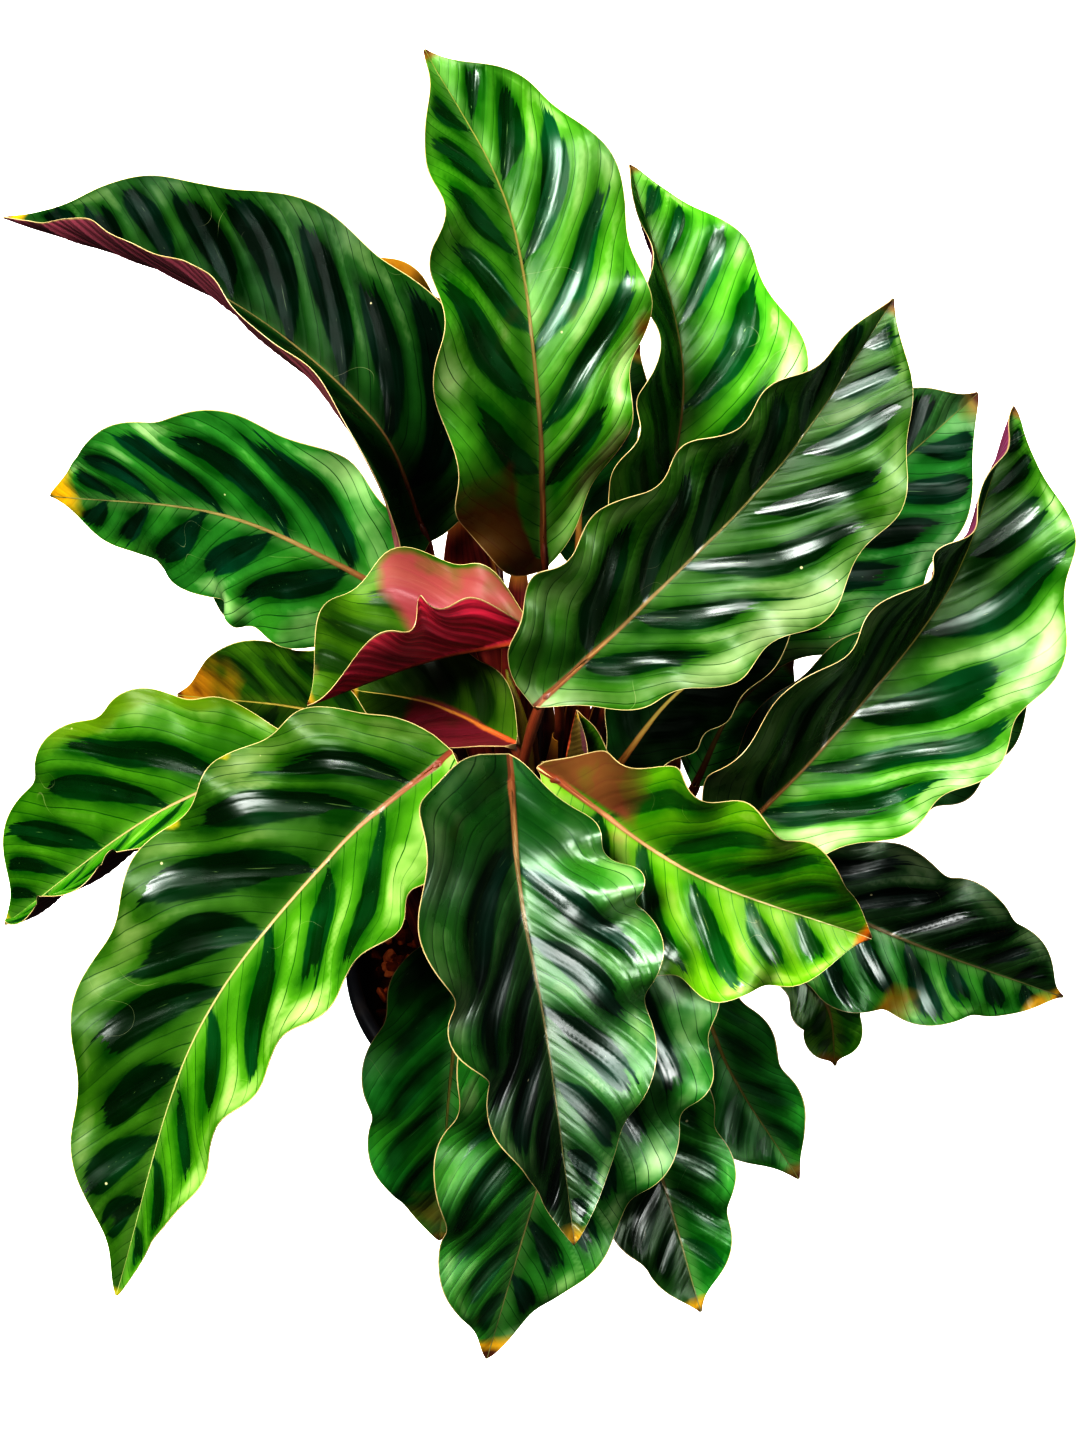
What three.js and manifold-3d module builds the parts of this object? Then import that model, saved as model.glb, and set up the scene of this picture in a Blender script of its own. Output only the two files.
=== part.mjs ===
// A calathea in its black nursery pot: a thin-walled pot, the bark mix that fills it, and the leaves and
// young shoots that rise from the mix. Millimetres, +Z up, the origin at the middle of the pot's underside.
// Seen from the front (along +Y), +X is to the right and the plant leans its leaves towards the viewer.
import * as THREE from "three";
import { mergeVertices } from "three/addons/utils/BufferGeometryUtils.js";
import Module from "manifold-3d";

const wasm = await Module();
wasm.setup();

// The pot: a tapered round nursery pot with a rolled lip.
const POT_HEIGHT = 115;
const POT_TOP_RADIUS = 68;
const POT_FOOT_RADIUS = 50;
const POT_WALL = 1.6;
const POT_FLOOR = 2.4;
const LIP_WIDTH = 4;
const LIP_DEPTH = 9;
const DRAIN_COUNT = 6;
const DRAIN_RADIUS = 4.5;
const DRAIN_RING = 34;

// The growing mix: bark and clay chips over a peat plug.
const MIX_TOP = 101;
const MIX_RISE = 4;
const SEAT_GAP = 0.3;
const CHIP_COUNT = 60;
const CHIP_SIZE = 5;
const HOLE_DEPTH = 14;

// The leaves.
const BLADE_THICKNESS = 0.8;
const RIB_DEPTH = 1.6;
const ROW_LENGTH = 9;
const STALK_FOOT_RADIUS = 2.5;
const STALK_TOP_RADIUS = 1.5;
const STALK_SIDES = 5;
const STALK_STEPS = 9;
const STALK_OVERRUN = 0.04;
const TIP_TAPER = 0.74;
const WAVE_SWAY = 0.6;
const LEAST_HALF_WIDTH = 0.9;
// The spear: a new leaf still rolled up, with its widest part and its tip.
const SPEAR = { foot: [-1, 0], belly: [-2, -1, 238], tip: [-8, 7, 270] };
const SPEAR_BELLY_RADIUS = 2.8;
const SPEAR_TIP_RADIUS = 0.5;
// Where the leaves turn their upper faces: up and towards the front, where the light comes from.
const LIGHT = new THREE.Vector3(0, -0.62, 0.79).normalize();

// One row a leaf. foot: where the stalk leaves the mix [x, y]. rib: what the midrib runs through, from the
// stalk's top to the tip [x, y, z]. width: the flat blade's full width. widest: how far along. roll: degrees
// by which the upper face turns from the light towards the blade's right side, and twist: how much more
// it turns from stalk to tip. fold and curl: degrees by which the left and the right half rise at the midrib,
// and bend on towards the margin. waves: how many waves a margin has, and their height. phase: of the left
// and the right margin, in turns. lobe: how far the base reaches back past the stalk's top. widest, fold, curl
// and phase give the left half first. green: the upper face's colour as a whole.
const LEAVES = [
  { name: "leaf_back_tall", foot: [0, 15], rib: [[4, 37, 292], [2, 51, 354], [-7, 83, 402], [-32, 111, 440]],
    width: 78, widest: [0.4, 0.54], roll: 18, twist: 6, fold: [24, 4], curl: [0, -4], waves: [4.5, 4], phase: [0.16, 0.03], lobe: 5, green: 0x3f9a2c },
  { name: "leaf_back_left_long", foot: [-11, 23], rib: [[-37, 73, 264], [-54, 80, 314], [-108, 125, 328], [-185, 168, 323]],
    width: 86, widest: [0.41, 0.47], roll: 22, twist: 37, fold: [46, 27], curl: [34, 8], waves: [4.5, 2.8], phase: [0.63, 0.41], lobe: 4, green: 0x1d5f24 },
  { name: "leaf_left_upper", foot: [-17, 17], rib: [[-46, 56, 251], [-105, 78, 267], [-177, 123, 229]],
    width: 78, widest: [0.36, 0.42], roll: -26, twist: -15, fold: [0, 10], curl: [-8, 0], waves: [4.5, 3], phase: [0.14, 0.65], lobe: 4, green: 0x236b28 },
  { name: "leaf_left_under", foot: [-22, 31], rib: [[-67, 92, 201], [-106, 116, 211], [-162, 157, 181]],
    width: 54, widest: [0.4, 0.42], roll: -10, twist: 0, fold: [5, 8], curl: [0, 0], waves: [4, 3], phase: [0.25, 0.43], lobe: 4, green: 0x174a1c },
  { name: "leaf_back_hidden_left", foot: [-6, 38], rib: [[-18, 116, 250], [-43, 136, 285], [-64, 190, 290]],
    width: 50, widest: [0.42, 0.4], roll: 6, twist: 0, fold: [10, 6], curl: [0, 0], waves: [4, 3], phase: [0.2, 0.8], lobe: 4, green: 0x4a5a20 },
  { name: "leaf_back_right", foot: [9, 16], rib: [[33, 34, 270], [50, 82, 326], [32, 129, 380]],
    width: 83, widest: [0.42, 0.42], roll: 20, twist: 26, fold: [48, 15], curl: [5, 0], waves: [4.5, 3.7], phase: [0.63, 0.61], lobe: 4, green: 0x3a8f33 },
  { name: "leaf_right_high", foot: [-2, -11], rib: [[4, -32, 304], [36, -12, 327], [77, 18, 357], [110, 50, 395]],
    width: 82, widest: [0.38, 0.56], roll: 20, twist: 24, fold: [32, 12], curl: [0, 0], waves: [5.3, 4], phase: [0.89, 0.24], lobe: 4, green: 0x2f8a24 },
  { name: "leaf_right_low", foot: [20, -12], rib: [[63, -40, 235], [98, -19, 269], [137, 25, 292], [158, 72, 327]],
    width: 90, widest: [0.43, 0.53], roll: 23, twist: 42, fold: [42, 22], curl: [7, 7], waves: [5.7, 3.7], phase: [0.11, 0.45], lobe: 4, green: 0x3a9420 },
  { name: "leaf_right_behind", foot: [12, 8], rib: [[54, 42, 221], [100, 74, 261], [157, 123, 282]],
    width: 76, widest: [0.45, 0.55], roll: 18, twist: 0, fold: [20, 9], curl: [0, 0], waves: [4.5, 3.2], phase: [0, 0.57], lobe: 4, green: 0x2c6b3a },
  { name: "leaf_right_shaded", foot: [25, -3], rib: [[69, -15, 200], [123, 19, 223], [177, 43, 220]],
    width: 68, widest: [0.45, 0.5], roll: 0, twist: 0, fold: [10, 15], curl: [0, 5], waves: [4, 3], phase: [0.96, 0.57], lobe: 4, green: 0x123f1a },
  { name: "leaf_right_outer", foot: [29, -13], rib: [[69, -24, 206], [125, -40, 183], [194, -25, 120]],
    width: 60, widest: [0.44, 0.4], roll: 12, twist: 0, fold: [9, 3], curl: [0, 0], waves: [4.5, 3], phase: [0.15, 0], lobe: 4, green: 0x1c5224 },
  { name: "leaf_front_right_young", foot: [6, -19], rib: [[8, -44, 279], [51, -76, 272], [107, -86, 251]],
    width: 70, widest: [0.5, 0.55], roll: 18, twist: 0, fold: [25, 7], curl: [7, 0], waves: [4.9, 4.3], phase: [0.32, 0.76], lobe: 7, green: 0x74b41e },
  { name: "leaf_front_middle", foot: [-2, -23], rib: [[-6, -62, 302], [-3, -94, 287], [5, -119, 245], [14, -154, 177]],
    width: 80, widest: [0.52, 0.36], roll: -25, twist: -9, fold: [8, 20], curl: [-3, 5], waves: [5, 4.5], phase: [0.32, 0.15], lobe: 8, green: 0x256f35 },
  { name: "leaf_front_left_long", foot: [-12, -13], rib: [[-28, -40, 282], [-63, -61, 260], [-107, -102, 218], [-135, -159, 151]],
    width: 92, widest: [0.4, 0.42], roll: 13, twist: 7, fold: [32, 14], curl: [12, 6], waves: [6, 4], phase: [0.07, 0.97], lobe: 5, green: 0x4a9f22 },
  { name: "leaf_left_low", foot: [-36, -12], rib: [[-77, 0, 234], [-129, -10, 212], [-189, -14, 151]],
    width: 83, widest: [0.44, 0.53], roll: 16, twist: 17, fold: [40, 16], curl: [47, 4], waves: [4.6, 3.9], phase: [0.23, 0.26], lobe: 4, green: 0x5a9c22 },
  { name: "leaf_left_aged", foot: [-10, 4], rib: [[-29, 15, 204], [-74, 40, 205], [-133, 78, 168]],
    width: 50, widest: [0.5, 0.55], roll: -13, twist: 0, fold: [10, 15], curl: [0, 0], waves: [3, 3.2], phase: [0.7, 0.79], lobe: 4, green: 0x3f6a1c },
  { name: "leaf_centre_young", foot: [-2, 7], rib: [[-1, 1, 293], [-33, 0, 284], [-71, -20, 285]],
    width: 72, widest: [0.43, 0.5], roll: 47, twist: -17, fold: [58, 34], curl: [19, 0], waves: [3, 3.7], phase: [0.98, 0.69], lobe: 3, green: 0x7aa62a },
  { name: "leaf_centre_small", foot: [-9, -3], rib: [[-6, -18, 263], [-33, 5, 254], [-60, 9, 257]],
    width: 44, widest: [0.5, 0.5], roll: 25, twist: 0, fold: [23, 15], curl: [5, 0], waves: [3, 2.1], phase: [0.26, 0.4], lobe: 2, green: 0x6e6a24 },
  { name: "leaf_front_left_low", foot: [-10, -21], rib: [[-16, -60, 240], [-26, -94, 189], [-32, -118, 110]],
    width: 58, widest: [0.5, 0.52], roll: -7, twist: 4, fold: [10, 15], curl: [0, 0], waves: [4.4, 3], phase: [0.61, 0.8], lobe: 4, green: 0x1f5a1e },
  { name: "leaf_front_bottom", foot: [13, -27], rib: [[32, -72, 251], [10, -119, 203], [-15, -162, 110]],
    width: 84, widest: [0.38, 0.45], roll: -17, twist: -12, fold: [7, 16], curl: [-3, 4], waves: [4.8, 3.9], phase: [0.35, 0.07], lobe: 4, green: 0x27702f },
  { name: "leaf_front_right_low", foot: [5, -30], rib: [[23, -91, 216], [42, -113, 157], [58, -143, 106]],
    width: 48, widest: [0.46, 0.44], roll: -8, twist: 0, fold: [9, 11], curl: [0, 0], waves: [4, 3], phase: [0.71, 0.34], lobe: 4, green: 0x1f5f28 },
  { name: "leaf_front_right_creased", foot: [18, -20], rib: [[53, -59, 201], [67, -79, 162], [93, -100, 121]],
    width: 40, widest: [0.49, 0.5], roll: 12, twist: 0, fold: [18, 10], curl: [0, 0], waves: [3, 3], phase: [0.85, 0.86], lobe: 3, green: 0x35612f },
  { name: "leaf_right_small", foot: [37, -11], rib: [[84, -40, 177], [102, -54, 162], [108, -58, 127]],
    width: 24, widest: [0.5, 0.5], roll: 0, twist: 0, fold: [12, 10], curl: [0, 0], waves: [3, 2], phase: [0.67, 0.65], lobe: 2, green: 0x3c5226 },
  { name: "leaf_right_inner", foot: [13, -2], rib: [[29, -3, 230], [51, 18, 246], [92, 38, 265]],
    width: 38, widest: [0.5, 0.44], roll: -9, twist: 0, fold: [12, 15], curl: [0, 0], waves: [4, 2], phase: [0.1, 0.69], lobe: 3, green: 0x10381a },
  { name: "leaf_right_inner_low", foot: [21, 7], rib: [[59, 22, 190], [72, 44, 202], [94, 60, 213]],
    width: 36, widest: [0.5, 0.5], roll: 0, twist: 0, fold: [12, 10], curl: [0, 0], waves: [3, 2], phase: [0.57, 0.66], lobe: 3, green: 0x0f3216 },
  { name: "leaf_back_hidden_right", foot: [4, 23], rib: [[16, 68, 255], [19, 93, 287], [37, 116, 312]],
    width: 38, widest: [0.5, 0.48], roll: -6, twist: 0, fold: [12, 14], curl: [0, 0], waves: [3, 2], phase: [0.1, 0.47], lobe: 3, green: 0x1d5230 },
  { name: "shoot_half_open", foot: [7, 2], rib: [[12, -12, 236], [13, -9, 250], [15, -6, 265]],
    width: 26, widest: [0.5, 0.5], roll: 40, twist: 0, fold: [60, 40], curl: [40, 30], waves: [1.5, 1], phase: [0.1, 0.5], lobe: 1, green: 0x7d7a2e },
];

const vector = (point) => new THREE.Vector3(...point);
const turn = (share) => 2 * Math.PI * share;
const radians = THREE.MathUtils.degToRad;

// A steady stream of numbers from 0 to 1, the same on every run.
function seededNumbers(seed) {
  let state = seed;
  return () => {
    state = (state * 1664525 + 1013904223) % 4294967296;
    return state / 4294967296;
  };
}

// A closed geometry as a solid, and a solid as a geometry.
function toSolid(geometry) {
  const bare = geometry.clone();
  bare.deleteAttribute("normal");
  bare.deleteAttribute("uv");
  const merged = mergeVertices(bare, 1e-4);
  const mesh = new wasm.Mesh({
    numProp: 3,
    vertProperties: new Float32Array(merged.attributes.position.array),
    triVerts: new Uint32Array(merged.index.array),
  });
  return new wasm.Manifold(mesh);
}

function toGeometry(solid) {
  const mesh = solid.getMesh();
  return new THREE.BufferGeometry()
    .setAttribute("position", new THREE.BufferAttribute(new Float32Array(mesh.vertProperties), 3))
    .setIndex(new THREE.BufferAttribute(new Uint32Array(mesh.triVerts), 1));
}

function makeMesh(name, geometry, material) {
  const mesh = new THREE.Mesh(geometry, material);
  mesh.name = name;
  return mesh;
}

// The pot.
const potPlastic = new THREE.MeshStandardMaterial({ color: 0x1c1d1f, roughness: 0.55, metalness: 0 });

function makePot() {
  const outline = [
    [0, 0], [POT_FOOT_RADIUS - 1, 0], [POT_FOOT_RADIUS, 1],
    [POT_TOP_RADIUS - LIP_WIDTH / 2, POT_HEIGHT - LIP_DEPTH],
    [POT_TOP_RADIUS + LIP_WIDTH / 2, POT_HEIGHT - LIP_DEPTH],
    [POT_TOP_RADIUS + LIP_WIDTH / 2, POT_HEIGHT - 1], [POT_TOP_RADIUS + LIP_WIDTH / 2 - 1, POT_HEIGHT],
    [POT_TOP_RADIUS - LIP_WIDTH / 2 - POT_WALL / 2, POT_HEIGHT],
    [POT_TOP_RADIUS - LIP_WIDTH / 2 - POT_WALL, POT_HEIGHT - LIP_DEPTH],
    [POT_FOOT_RADIUS - POT_WALL, POT_FLOOR], [0, POT_FLOOR],
  ];
  const shell = new THREE.LatheGeometry(outline.map(([r, z]) => new THREE.Vector2(r, z)), 36);
  let solid = toSolid(shell.rotateX(Math.PI / 2));
  for (let i = 0; i < DRAIN_COUNT; i++) {
    const angle = turn(i / DRAIN_COUNT);
    const drain = new THREE.CylinderGeometry(DRAIN_RADIUS, DRAIN_RADIUS, 4 * POT_FLOOR, 10).rotateX(Math.PI / 2);
    drain.translate(DRAIN_RING * Math.cos(angle), DRAIN_RING * Math.sin(angle), 0);
    solid = solid.subtract(toSolid(drain));
  }
  return makeMesh("pot", toGeometry(solid), potPlastic);
}

// The growing mix: a plug as wide as the pot's inside, chips half sunk in its top, and a plain hole a stalk.
const barkMix = new THREE.MeshStandardMaterial({ color: 0x4a2a1c, roughness: 0.95, metalness: 0 });

const mixRadius = (z) => {
  const inside = POT_TOP_RADIUS - LIP_WIDTH / 2 - POT_WALL;
  const foot = POT_FOOT_RADIUS - POT_WALL;
  return foot + (inside - foot) * (z - POT_FLOOR) / (POT_HEIGHT - LIP_DEPTH - POT_FLOOR) - SEAT_GAP;
};
const mixTop = (r) => MIX_TOP + MIX_RISE * (1 - (r / mixRadius(MIX_TOP)) ** 2);

function makeMix() {
  const random = seededNumbers(7);
  const low = POT_FLOOR + SEAT_GAP;
  const edge = mixRadius(MIX_TOP);
  const outline = [[0, low], [mixRadius(low), low], [edge, MIX_TOP], [edge / 2, mixTop(edge / 2)], [0, mixTop(0)]];
  const plug = new THREE.LatheGeometry(outline.map(([r, z]) => new THREE.Vector2(r, z)), 28);
  let solid = toSolid(plug.rotateX(Math.PI / 2));
  const goldenTurn = turn(0.381966);
  for (let i = 0; i < CHIP_COUNT; i++) {
    const r = (edge - CHIP_SIZE - 1) * Math.sqrt((i + 0.5) / CHIP_COUNT);
    const x = r * Math.cos(i * goldenTurn);
    const y = r * Math.sin(i * goldenTurn);
    const nearStalk = LEAVES.some(({ foot }) => Math.hypot(foot[0] - x, foot[1] - y) < STALK_FOOT_RADIUS + CHIP_SIZE * 1.5);
    const chip = new THREE.OctahedronGeometry(CHIP_SIZE * (0.7 + 0.6 * random()));
    chip.scale(1, 0.55 + 0.3 * random(), 0.6);
    chip.rotateX(0.5 - random()).rotateY(0.5 - random()).rotateZ(turn(random()));
    chip.translate(x, y, mixTop(r) + 0.4);
    if (!nearStalk) solid = solid.add(toSolid(chip));
  }
  for (const { foot } of [...LEAVES, SPEAR]) {
    const hole = new THREE.CylinderGeometry(STALK_FOOT_RADIUS + 0.8, STALK_FOOT_RADIUS + 0.8, 2 * HOLE_DEPTH, 7);
    hole.rotateX(Math.PI / 2).translate(foot[0], foot[1], mixTop(Math.hypot(...foot)));
    solid = solid.subtract(toSolid(hole));
  }
  return makeMesh("growing_mix", toGeometry(solid), barkMix);
}

// A leaf's form: a point of its blade at u from stalk (0) to tip (1) and v from left (-1) to right margin (1).
function bladeForm(leaf) {
  const rib = new THREE.CatmullRomCurve3(leaf.rib.map(vector), false, "catmullrom", 0.5);
  const halfWidth = (u, widest) => {
    const baseTaper = TIP_TAPER * widest / (1 - widest);
    const share = (u / widest) ** baseTaper * ((1 - u) / (1 - widest)) ** TIP_TAPER;
    return Math.max(LEAST_HALF_WIDTH, leaf.width / 2 * share);
  };
  const point = (u, v) => {
    const along = rib.getTangent(u);
    const normal = LIGHT.clone().addScaledVector(along, -LIGHT.dot(along)).normalize();
    const right = along.clone().cross(normal);
    const roll = radians(leaf.roll + leaf.twist * (u - 0.5));
    const up = normal.clone().multiplyScalar(Math.cos(roll)).addScaledVector(right, Math.sin(roll));
    const across = along.clone().cross(up).multiplyScalar(Math.sign(v));
    const side = v < 0 ? 0 : 1;
    const reach = Math.abs(v);
    const angle = radians(leaf.fold[side] + leaf.curl[side] * reach / 2);
    const wave = turn(leaf.waves[0] * u + leaf.phase[side]);
    const swell = reach ** 2 * Math.sqrt(Math.sin(Math.PI * u)) * leaf.waves[1];
    const out = reach * halfWidth(u, leaf.widest[side]);
    return rib.getPoint(u)
      .addScaledVector(across, out * Math.cos(angle) + swell * WAVE_SWAY * Math.cos(wave))
      .addScaledVector(up, out * Math.sin(angle) + swell * Math.sin(wave))
      .addScaledVector(along, -leaf.lobe * reach ** 2 * (1 - u) ** 6);
  };
  return { rib, point };
}

// The blade as a closed sheet: the same grid of triangles on both faces, joined round the edge. Below the
// midrib the sheet is thicker, as much as RIB_DEPTH at the stalk.
function makeBlade(form) {
  const rows = Math.max(8, Math.round(form.rib.getLength() / ROW_LENGTH));
  const grid = new THREE.PlaneGeometry(1, 1, 4, rows);
  const places = grid.attributes.uv;
  const count = places.count;
  for (let i = 0; i < count; i++) {
    const p = form.point(places.getY(i), 2 * places.getX(i) - 1);
    grid.attributes.position.setXYZ(i, p.x, p.y, p.z);
  }
  grid.computeVertexNormals();
  const positions = [];
  for (const side of [1, -1]) {
    for (let i = 0; i < count; i++) {
      const p = new THREE.Vector3().fromBufferAttribute(grid.attributes.position, i);
      const n = new THREE.Vector3().fromBufferAttribute(grid.attributes.normal, i);
      const underRib = side < 0 && places.getX(i) === 0.5 ? RIB_DEPTH * (1 - places.getY(i)) : 0;
      positions.push(...p.addScaledVector(n, side * BLADE_THICKNESS / 2 - underRib).toArray());
    }
  }
  const top = [...grid.index.array];
  const faces = [...top];
  for (let i = 0; i < top.length; i += 3) faces.push(top[i] + count, top[i + 2] + count, top[i + 1] + count);
  const sharedEdges = new Set();
  for (let i = 0; i < top.length; i += 3)
    for (let k = 0; k < 3; k++) sharedEdges.add(top[i + k] + "," + top[i + (k + 1) % 3]);
  for (const edge of sharedEdges) {
    const [a, b] = edge.split(",").map(Number);
    if (!sharedEdges.has(b + "," + a)) faces.push(a, a + count, b, b, a + count, b + count);
  }
  return new THREE.BufferGeometry()
    .setAttribute("position", new THREE.Float32BufferAttribute(positions, 3))
    .setIndex(faces);
}

// A round rod of changing radius along a path: a closed cylinder whose rings are laid along it.
function makeRod(path, radiusAt, steps) {
  const rod = new THREE.CylinderGeometry(1, 1, 1, STALK_SIDES, steps);
  const frames = path.computeFrenetFrames(steps, false);
  const position = rod.attributes.position;
  for (let i = 0; i < position.count; i++) {
    const share = 0.5 - position.getY(i);
    const step = Math.round(share * steps);
    const radius = radiusAt(share);
    const p = path.getPointAt(share)
      .addScaledVector(frames.normals[step], radius * position.getX(i))
      .addScaledVector(frames.binormals[step], radius * position.getZ(i));
    position.setXYZ(i, p.x, p.y, p.z);
  }
  return rod;
}

// The stalk rises straight out of its hole, leans over to the blade and ends inside the midrib's first part.
function makeStalk(leaf, form) {
  const [x, y] = leaf.foot;
  const ground = mixTop(Math.hypot(x, y));
  const neck = form.rib.getPoint(0);
  const heading = form.rib.getTangent(0);
  const height = neck.z - ground;
  const surface = new THREE.Vector3(x, y, ground + 2);
  const arrival = heading.clone().multiplyScalar(0.35).add(new THREE.Vector3(0, 0, 0.65)).normalize();
  const path = new THREE.CurvePath();
  path.add(new THREE.LineCurve3(new THREE.Vector3(x, y, ground - HOLE_DEPTH + SEAT_GAP), surface));
  path.add(new THREE.CubicBezierCurve3(surface, surface.clone().setZ(ground + height * 0.45),
    neck.clone().addScaledVector(arrival, -height * 0.25), neck));
  path.add(new THREE.LineCurve3(neck, form.rib.getPoint(STALK_OVERRUN)));
  const radiusAt = (share) => THREE.MathUtils.lerp(STALK_FOOT_RADIUS, STALK_TOP_RADIUS, share);
  return makeRod(path, radiusAt, STALK_STEPS);
}

// The spear stands on its stalk like a leaf, and swells where the blade is rolled.
function makeSpear() {
  const [x, y] = SPEAR.foot;
  const ground = mixTop(Math.hypot(x, y));
  const bottom = new THREE.Vector3(x, y, ground - HOLE_DEPTH + SEAT_GAP);
  const surface = bottom.clone().setZ(ground + 2);
  const path = new THREE.CurvePath();
  path.add(new THREE.LineCurve3(bottom, surface));
  path.add(new THREE.CatmullRomCurve3([surface, new THREE.Vector3(x, y, ground + 50), vector(SPEAR.belly), vector(SPEAR.tip)]));
  const radiusAt = (share) => share < 0.75
    ? THREE.MathUtils.lerp(STALK_FOOT_RADIUS, SPEAR_BELLY_RADIUS, share / 0.75)
    : THREE.MathUtils.lerp(SPEAR_BELLY_RADIUS, SPEAR_TIP_RADIUS, ((share - 0.75) / 0.25) ** 2);
  return makeMesh("shoot_spear", makeRod(path, radiusAt, 16), spearGreen);
}

const spearGreen = new THREE.MeshStandardMaterial({ color: 0x8a7a2c, roughness: 0.5, metalness: 0 });

function makeLeaf(leaf) {
  const form = bladeForm(leaf);
  const blade = toSolid(makeBlade(form));
  const stalk = toSolid(makeStalk(leaf, form));
  const waxyGreen = new THREE.MeshStandardMaterial({ color: leaf.green, roughness: 0.35, metalness: 0 });
  return makeMesh(leaf.name, toGeometry(blade.add(stalk)), waxyGreen);
}

const plant = new THREE.Group();
plant.add(makePot(), makeMix());
for (const leaf of LEAVES) plant.add(makeLeaf(leaf));
plant.add(makeSpear());

export default plant;
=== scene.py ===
"""A potted calathea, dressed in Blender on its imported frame.

The plant is put together as a grower would: the nursery pot, the bark mix that fills it, the leaves on
their stalks from the back to the front, and the new shoots in the middle. The photograph's floor, lights
and camera come last.
"""
import math

import bmesh
import bpy
import numpy as np
from mathutils import Matrix, Vector, noise


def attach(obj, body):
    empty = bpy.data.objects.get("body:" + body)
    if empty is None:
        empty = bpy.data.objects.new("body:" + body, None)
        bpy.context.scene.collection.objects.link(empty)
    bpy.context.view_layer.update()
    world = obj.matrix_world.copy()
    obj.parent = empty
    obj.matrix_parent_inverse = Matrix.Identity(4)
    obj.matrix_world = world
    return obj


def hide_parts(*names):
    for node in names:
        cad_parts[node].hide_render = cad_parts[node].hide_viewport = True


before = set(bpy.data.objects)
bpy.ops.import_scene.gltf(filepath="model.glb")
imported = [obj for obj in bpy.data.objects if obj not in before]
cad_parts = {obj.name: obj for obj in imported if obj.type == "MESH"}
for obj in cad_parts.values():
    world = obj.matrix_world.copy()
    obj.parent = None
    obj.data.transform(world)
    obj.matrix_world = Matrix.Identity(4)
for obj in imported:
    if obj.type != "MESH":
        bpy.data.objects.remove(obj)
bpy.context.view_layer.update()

# The nursery pot
# A round 14 cm grower's pot in black polypropylene, injection moulded in one shot with a rolled lip and
# six drain holes. It came out of a steel mould, so its wall is smooth and its corners are slightly round.
pot_outline = (
    (0, 0), (47.6, 0), (49.2, 0.3), (50, 1.3), (50.6, 4.6), (64.6, 93.4), (65.05, 94.6), (65.1, 96.2),
    (65.9, 104.9), (66.3, 105.7), (67.2, 106), (68.9, 106), (69.7, 106.3), (70, 107.1), (69.95, 110.2),
    (69.75, 110.6), (69.95, 111), (69.9, 113.2), (69.5, 114.3), (68.7, 114.9), (67.6, 115), (66.4, 114.8),
    (65.5, 114.1), (65.1, 112.9), (64.6, 107), (64.2, 104.2), (48.5, 3.4), (47.6, 2.5), (0, 2.4),
)
pot_steps, pot_corner = 144, 38
drain_ring, drain_radius, drain_count, drain_sides, drill_length = 34, 4.5, 6, 24, 6


def paint(hex_colour):
    """An sRGB hex colour as linear light, for a shader's socket."""
    parts = [int(hex_colour[i:i + 2], 16) / 255 for i in (1, 3, 5)]
    linear = [p / 12.92 if p <= 0.04045 else ((p + 0.055) / 1.055) ** 2.4 for p in parts]
    return (*linear, 1)


def add(material, kind, inputs=None, take=None, **settings):
    """Adds a node with its settings and links; hands back its output, the first in use or the one to take."""
    node = material.node_tree.nodes.new("ShaderNode" + kind)
    for name, value in settings.items():
        setattr(node, name, value)
    for socket, value in (inputs or {}).items():
        if isinstance(value, bpy.types.NodeSocket):
            material.node_tree.links.new(value, node.inputs[socket])
        else:
            node.inputs[socket].default_value = value
    return node.outputs[take] if take else next(socket for socket in node.outputs if socket.enabled)


def new_material(name):
    """An empty material that holds only the Material Output node."""
    material = bpy.data.materials.new(name)
    material.use_nodes = True
    for node in list(material.node_tree.nodes):
        if node.type != "OUTPUT_MATERIAL":
            material.node_tree.nodes.remove(node)
    return material


def finish_material(material, shader):
    """Joins the shader to the material's output."""
    output = material.node_tree.nodes["Material Output"]
    material.node_tree.links.new(shader, output.inputs["Surface"])
    return material


def turn_outline(outline, steps):
    """Turns an outline of radii and heights round the Z axis into a closed shape."""
    shape = bmesh.new()
    corners = [shape.verts.new((r, 0, z)) for r, z in outline]
    edges = [shape.edges.new(pair) for pair in zip(corners, corners[1:])]
    bmesh.ops.spin(shape, geom=corners + edges, cent=(0, 0, 0), axis=(0, 0, 1), angle=2 * math.pi,
                   steps=steps, use_merge=True)
    bmesh.ops.remove_doubles(shape, verts=shape.verts, dist=0.001)
    bmesh.ops.recalc_face_normals(shape, faces=shape.faces)
    return shape


def keep_mesh(shape, name, materials, smooth=True):
    """Turns a bmesh in millimetres into an object in metres, with its materials and smooth faces."""
    bmesh.ops.scale(shape, vec=(0.001, 0.001, 0.001), verts=shape.verts)
    for face in shape.faces:
        face.smooth = smooth
    mesh = bpy.data.meshes.new(name)
    shape.to_mesh(mesh)
    shape.free()
    for material in materials:
        mesh.materials.append(material)
    made = bpy.data.objects.new(name, mesh)
    bpy.context.scene.collection.objects.link(made)
    return made


def stand_for(piece, node):
    """The piece takes a CAD node's place on the one body."""
    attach(piece, "root")
    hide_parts(node)


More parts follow.
